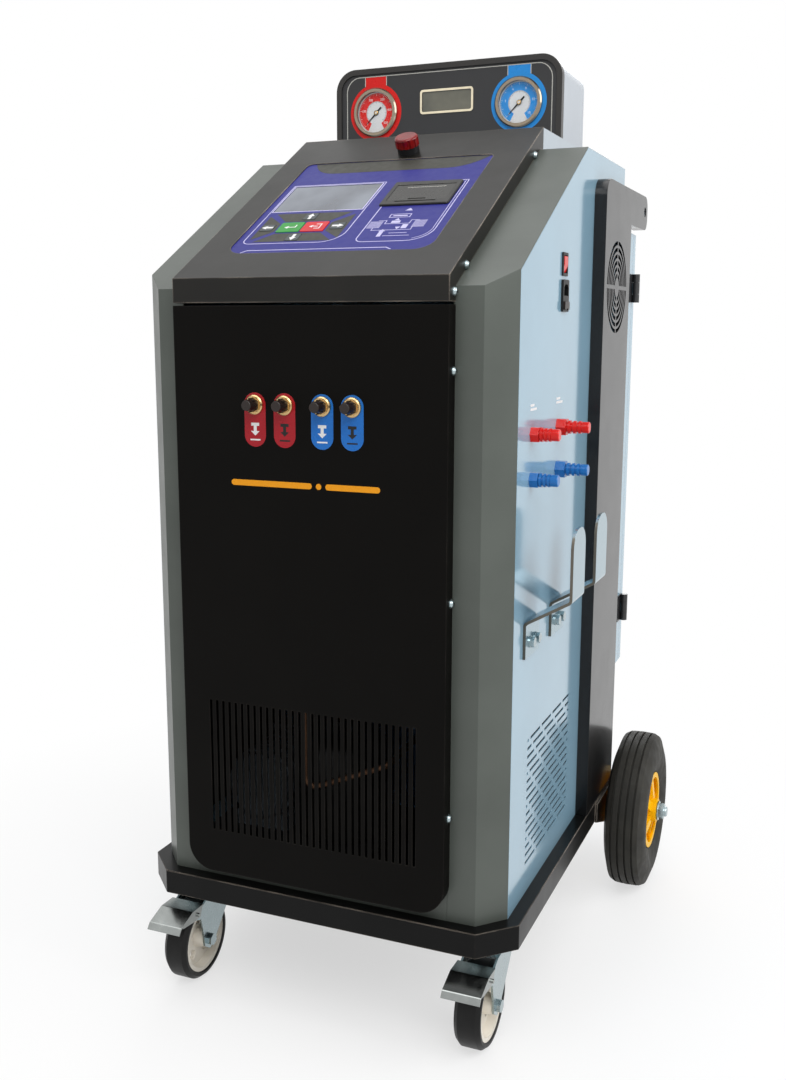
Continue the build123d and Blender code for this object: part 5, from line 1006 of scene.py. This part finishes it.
def needle_hub(side, x):
    """Brass cap on the needle's hub."""
    mesh = bmesh.new()
    top = seat("needle_" + side, POD, x + 2.6, GAUGE_Z)
    turned(mesh, [(3.4, top), (3.4, top + 0.5), (2.8, top + 0.9), (0, top + 1.0)], x, GAUGE_Z, 28)
    bmesh.ops.recalc_face_normals(mesh, faces=mesh.faces)
    new_piece("needle_hub_" + side, mesh, "needle_" + side, BRASS, POD)


def pod_display():
    """Gold frame and dark glass of the small display."""
    x, z = DISPLAY_CENTRE
    w, h = DISPLAY_SIZE
    face = seat("pod_face", POD, x, TAB_TOP - 12)
    outer = rounded(x - w / 2, x + w / 2, z - h / 2, z + h / 2, 5)
    inner = rounded(x - w / 2 + 3.4, x + w / 2 - 3.4, z - h / 2 + 3.4, z + h / 2 - 3.4, 2.4)
    mesh = bmesh.new()
    band(mesh, outer, inner, face, face + 1.1)
    bmesh.ops.recalc_face_normals(mesh, faces=mesh.faces)
    new_piece("pod_display_frame", mesh, "cabinet", CREAM_METAL, POD)
    glass_at = seat("pod_face", POD, x, z)
    flat_print("pod_display_glass", POD, [inner], DISPLAY, glass_at + 0.1)


def pod_rim_highlight():
    """Cream line round the face, a painted highlight along the inner edge of the rim."""
    face = seat("pod_face", POD, 0, TAB_TOP - 12)
    outer = rounded(-177, 179, 1288, 1402, (2, 2, 24, 24), 10)
    inner = rounded(-175.6, 177.6, 1289.4, 1400.6, (1, 1, 22.6, 22.6), 10)
    flat_band("pod_rim_highlight", POD, [(outer, inner)], PALE_INK, face)


CREAM_METAL = metal("cream_metal", (0.78, 0.70, 0.52, 1), 0.32, brush=60, spangle=0.08)
for gauge_side, gauge_x, gauge_ink, gauge_step in (("left", -GAUGE_X, DIAL_RED, 100), ("right", GAUGE_X, DIAL_BLUE, 3)):
    gauge_prints(gauge_side, gauge_x, gauge_ink, "gauge_dials")
    dial_numbers(gauge_side, gauge_x, gauge_step)
    gauge_glass(gauge_side, gauge_x)
    needle_hub(gauge_side, gauge_x)
pod_display()
pod_rim_highlight()


# Right side

COUPLER_MARKS = ((92.0, 122.0, 884.0), (222.0, 256.0, 886.0))


def coupler_marks():
    """Plain white bars over the two upper parking posts."""
    lift = seat("side_panel_right", SIDE, 0, 900)
    shapes = []
    for y0, y1, z in COUPLER_MARKS:
        a = FRONT_STRIP_Y + y0
        b = FRONT_STRIP_Y + y1
        shapes.append(rounded(a, b, z, z + 3.2, 1.5, 3))
        shapes.append(rounded(a, a + (b - a) * 0.6, z + 5.4, z + 8.6, 1.5, 3))
    flat_print("coupler_marks", SIDE, shapes, WHITE_INK, lift)


def vent_shade_sheets():
    """Dark sheets behind the side vents, painted shade that stands in for the dark inside of the cabinet."""
    shade_sheet_finish = rubber("vent_shade_sheet_finish", (0.008, 0.008, 0.009, 1), 0.8)
    for side in (-1, 1):
        inner_x = side * (high("side_panel_right").x - 1.5)
        plane = plane_matrix((inner_x, 0, 0), (0, side, 0), (0, 0, 1))
        y0 = FRONT_STRIP_Y + 104
        y1 = FRONT_STRIP_Y + 360
        outline = rounded(min(side * y0, side * y1), max(side * y0, side * y1), 228, 440, 6)
        mesh = bmesh.new()
        slab(mesh, outline, -6.0, -0.6)
        bmesh.ops.recalc_face_normals(mesh, faces=mesh.faces)
        name = "vent_shade_sheet_" + ("right" if side > 0 else "left")
        new_piece(name, mesh, "cabinet", shade_sheet_finish, plane)


coupler_marks()
vent_shade_sheets()


# Camera, light and floor

def make_camera():
    data = bpy.data.cameras.new("camera")
    data.sensor_width = CAMERA_SENSOR
    data.lens = CAMERA_LENS
    obj = bpy.data.objects.new("camera", data)
    bpy.context.scene.collection.objects.link(obj)
    forward = Vector((
        -sin(CAMERA_YAW) * cos(CAMERA_PITCH),
        cos(CAMERA_YAW) * cos(CAMERA_PITCH),
        sin(CAMERA_PITCH),
    ))
    right = Vector((cos(CAMERA_YAW), sin(CAMERA_YAW), 0))
    up = right.cross(forward)
    matrix = Matrix((right, up, -forward)).transposed().to_4x4()
    matrix = matrix @ Matrix.Rotation(CAMERA_ROLL, 4, "Z")
    matrix.translation = Vector(CAMERA_AT) * MM
    obj.matrix_world = matrix
    bpy.context.scene.camera = obj


def area_light(name, place, target, size, power, tint=(1, 1, 1)):
    data = bpy.data.lights.new(name, "AREA")
    data.shape = "RECTANGLE"
    data.size = size[0]
    data.size_y = size[1]
    data.energy = power
    data.color = tint
    obj = bpy.data.objects.new(name, data)
    bpy.context.scene.collection.objects.link(obj)
    obj.location = place
    obj.rotation_euler = (Vector(target) - Vector(place)).to_track_quat("-Z", "Y").to_euler()


def seen_rays(tree):
    """1 for rays that the camera, a mirror or a window sees, 0 for the rest."""
    path = tree.nodes.new("ShaderNodeLightPath")
    total = tree.nodes.new("ShaderNodeMath")
    total.operation = "MAXIMUM"
    tree.links.new(path.outputs["Is Camera Ray"], total.inputs[0])
    tree.links.new(path.outputs["Is Glossy Ray"], total.inputs[1])
    both = tree.nodes.new("ShaderNodeMath")
    both.operation = "MAXIMUM"
    tree.links.new(total.outputs[0], both.inputs[0])
    tree.links.new(path.outputs["Is Transmission Ray"], both.inputs[1])
    return both.outputs[0]


def make_world():
    world = bpy.data.worlds.new("studio")
    world.use_nodes = True
    bpy.context.scene.world = world
    tree = world.node_tree
    background = tree.nodes["Background"]
    background.inputs["Color"].default_value = (1, 1, 1, 1)
    strength = tree.nodes.new("ShaderNodeMapRange")
    strength.inputs["To Min"].default_value = 0.36
    strength.inputs["To Max"].default_value = 1.0
    tree.links.new(seen_rays(tree), strength.inputs["Value"])
    tree.links.new(strength.outputs["Result"], background.inputs["Strength"])


def make_floor():
    """Pale floor that keeps the shadow near the machine and fades into the white surround."""
    mesh = bmesh.new()
    radius = 14000
    slab(mesh, arc(0, 0, radius, 0, 354, 59), -12, -0.05)
    data = bpy.data.meshes.new("floor")
    mesh.to_mesh(data)
    mesh.free()
    floor = bpy.data.objects.new("floor", data)
    bpy.context.scene.collection.objects.link(floor)
    shader = Shader("floor")
    shader.set(base=(0.90, 0.90, 0.90, 1), rough=0.7, specular=0.2)
    distance = shader.add("ShaderNodeVectorMath", operation="LENGTH")
    shader.link(shader.place(), distance.inputs[0])
    fade = shader.ramp(distance.outputs["Value"], 0.3, 0.6, 1.2, 1.0)
    factor = shader.add("ShaderNodeMath", operation="MULTIPLY")
    shader.link(fade, factor.inputs[0])
    shader.link(seen_rays(shader.tree), factor.inputs[1])
    glow = shader.add("ShaderNodeEmission")
    mix = shader.add("ShaderNodeMixShader")
    shader.link(factor.outputs[0], mix.inputs[0])
    shader.link(shader.surface.outputs[0], mix.inputs[1])
    shader.link(glow.outputs[0], mix.inputs[2])
    shader.link(mix.outputs[0], shader.tree.nodes["Material Output"].inputs["Surface"])
    data.materials.append(shader.material)


make_camera()
make_world()
make_floor()
area_light("key_light", (1.4, -2.3, 3.1), (0, 0, 1.0), (2.0, 2.0), 62)
area_light("side_light", (3.0, 0.1, 2.5), (0.2, 0, 0.9), (2.2, 2.2), 55)
area_light("top_light", (-0.6, -0.4, 3.4), (0, 0, 1.0), (2.4, 2.4), 36)
area_light("back_light", (-0.9, 3.4, 2.3), (0, 0, 0.8), (2.4, 2.4), 42)

bpy.context.scene.view_settings.view_transform = "Standard"
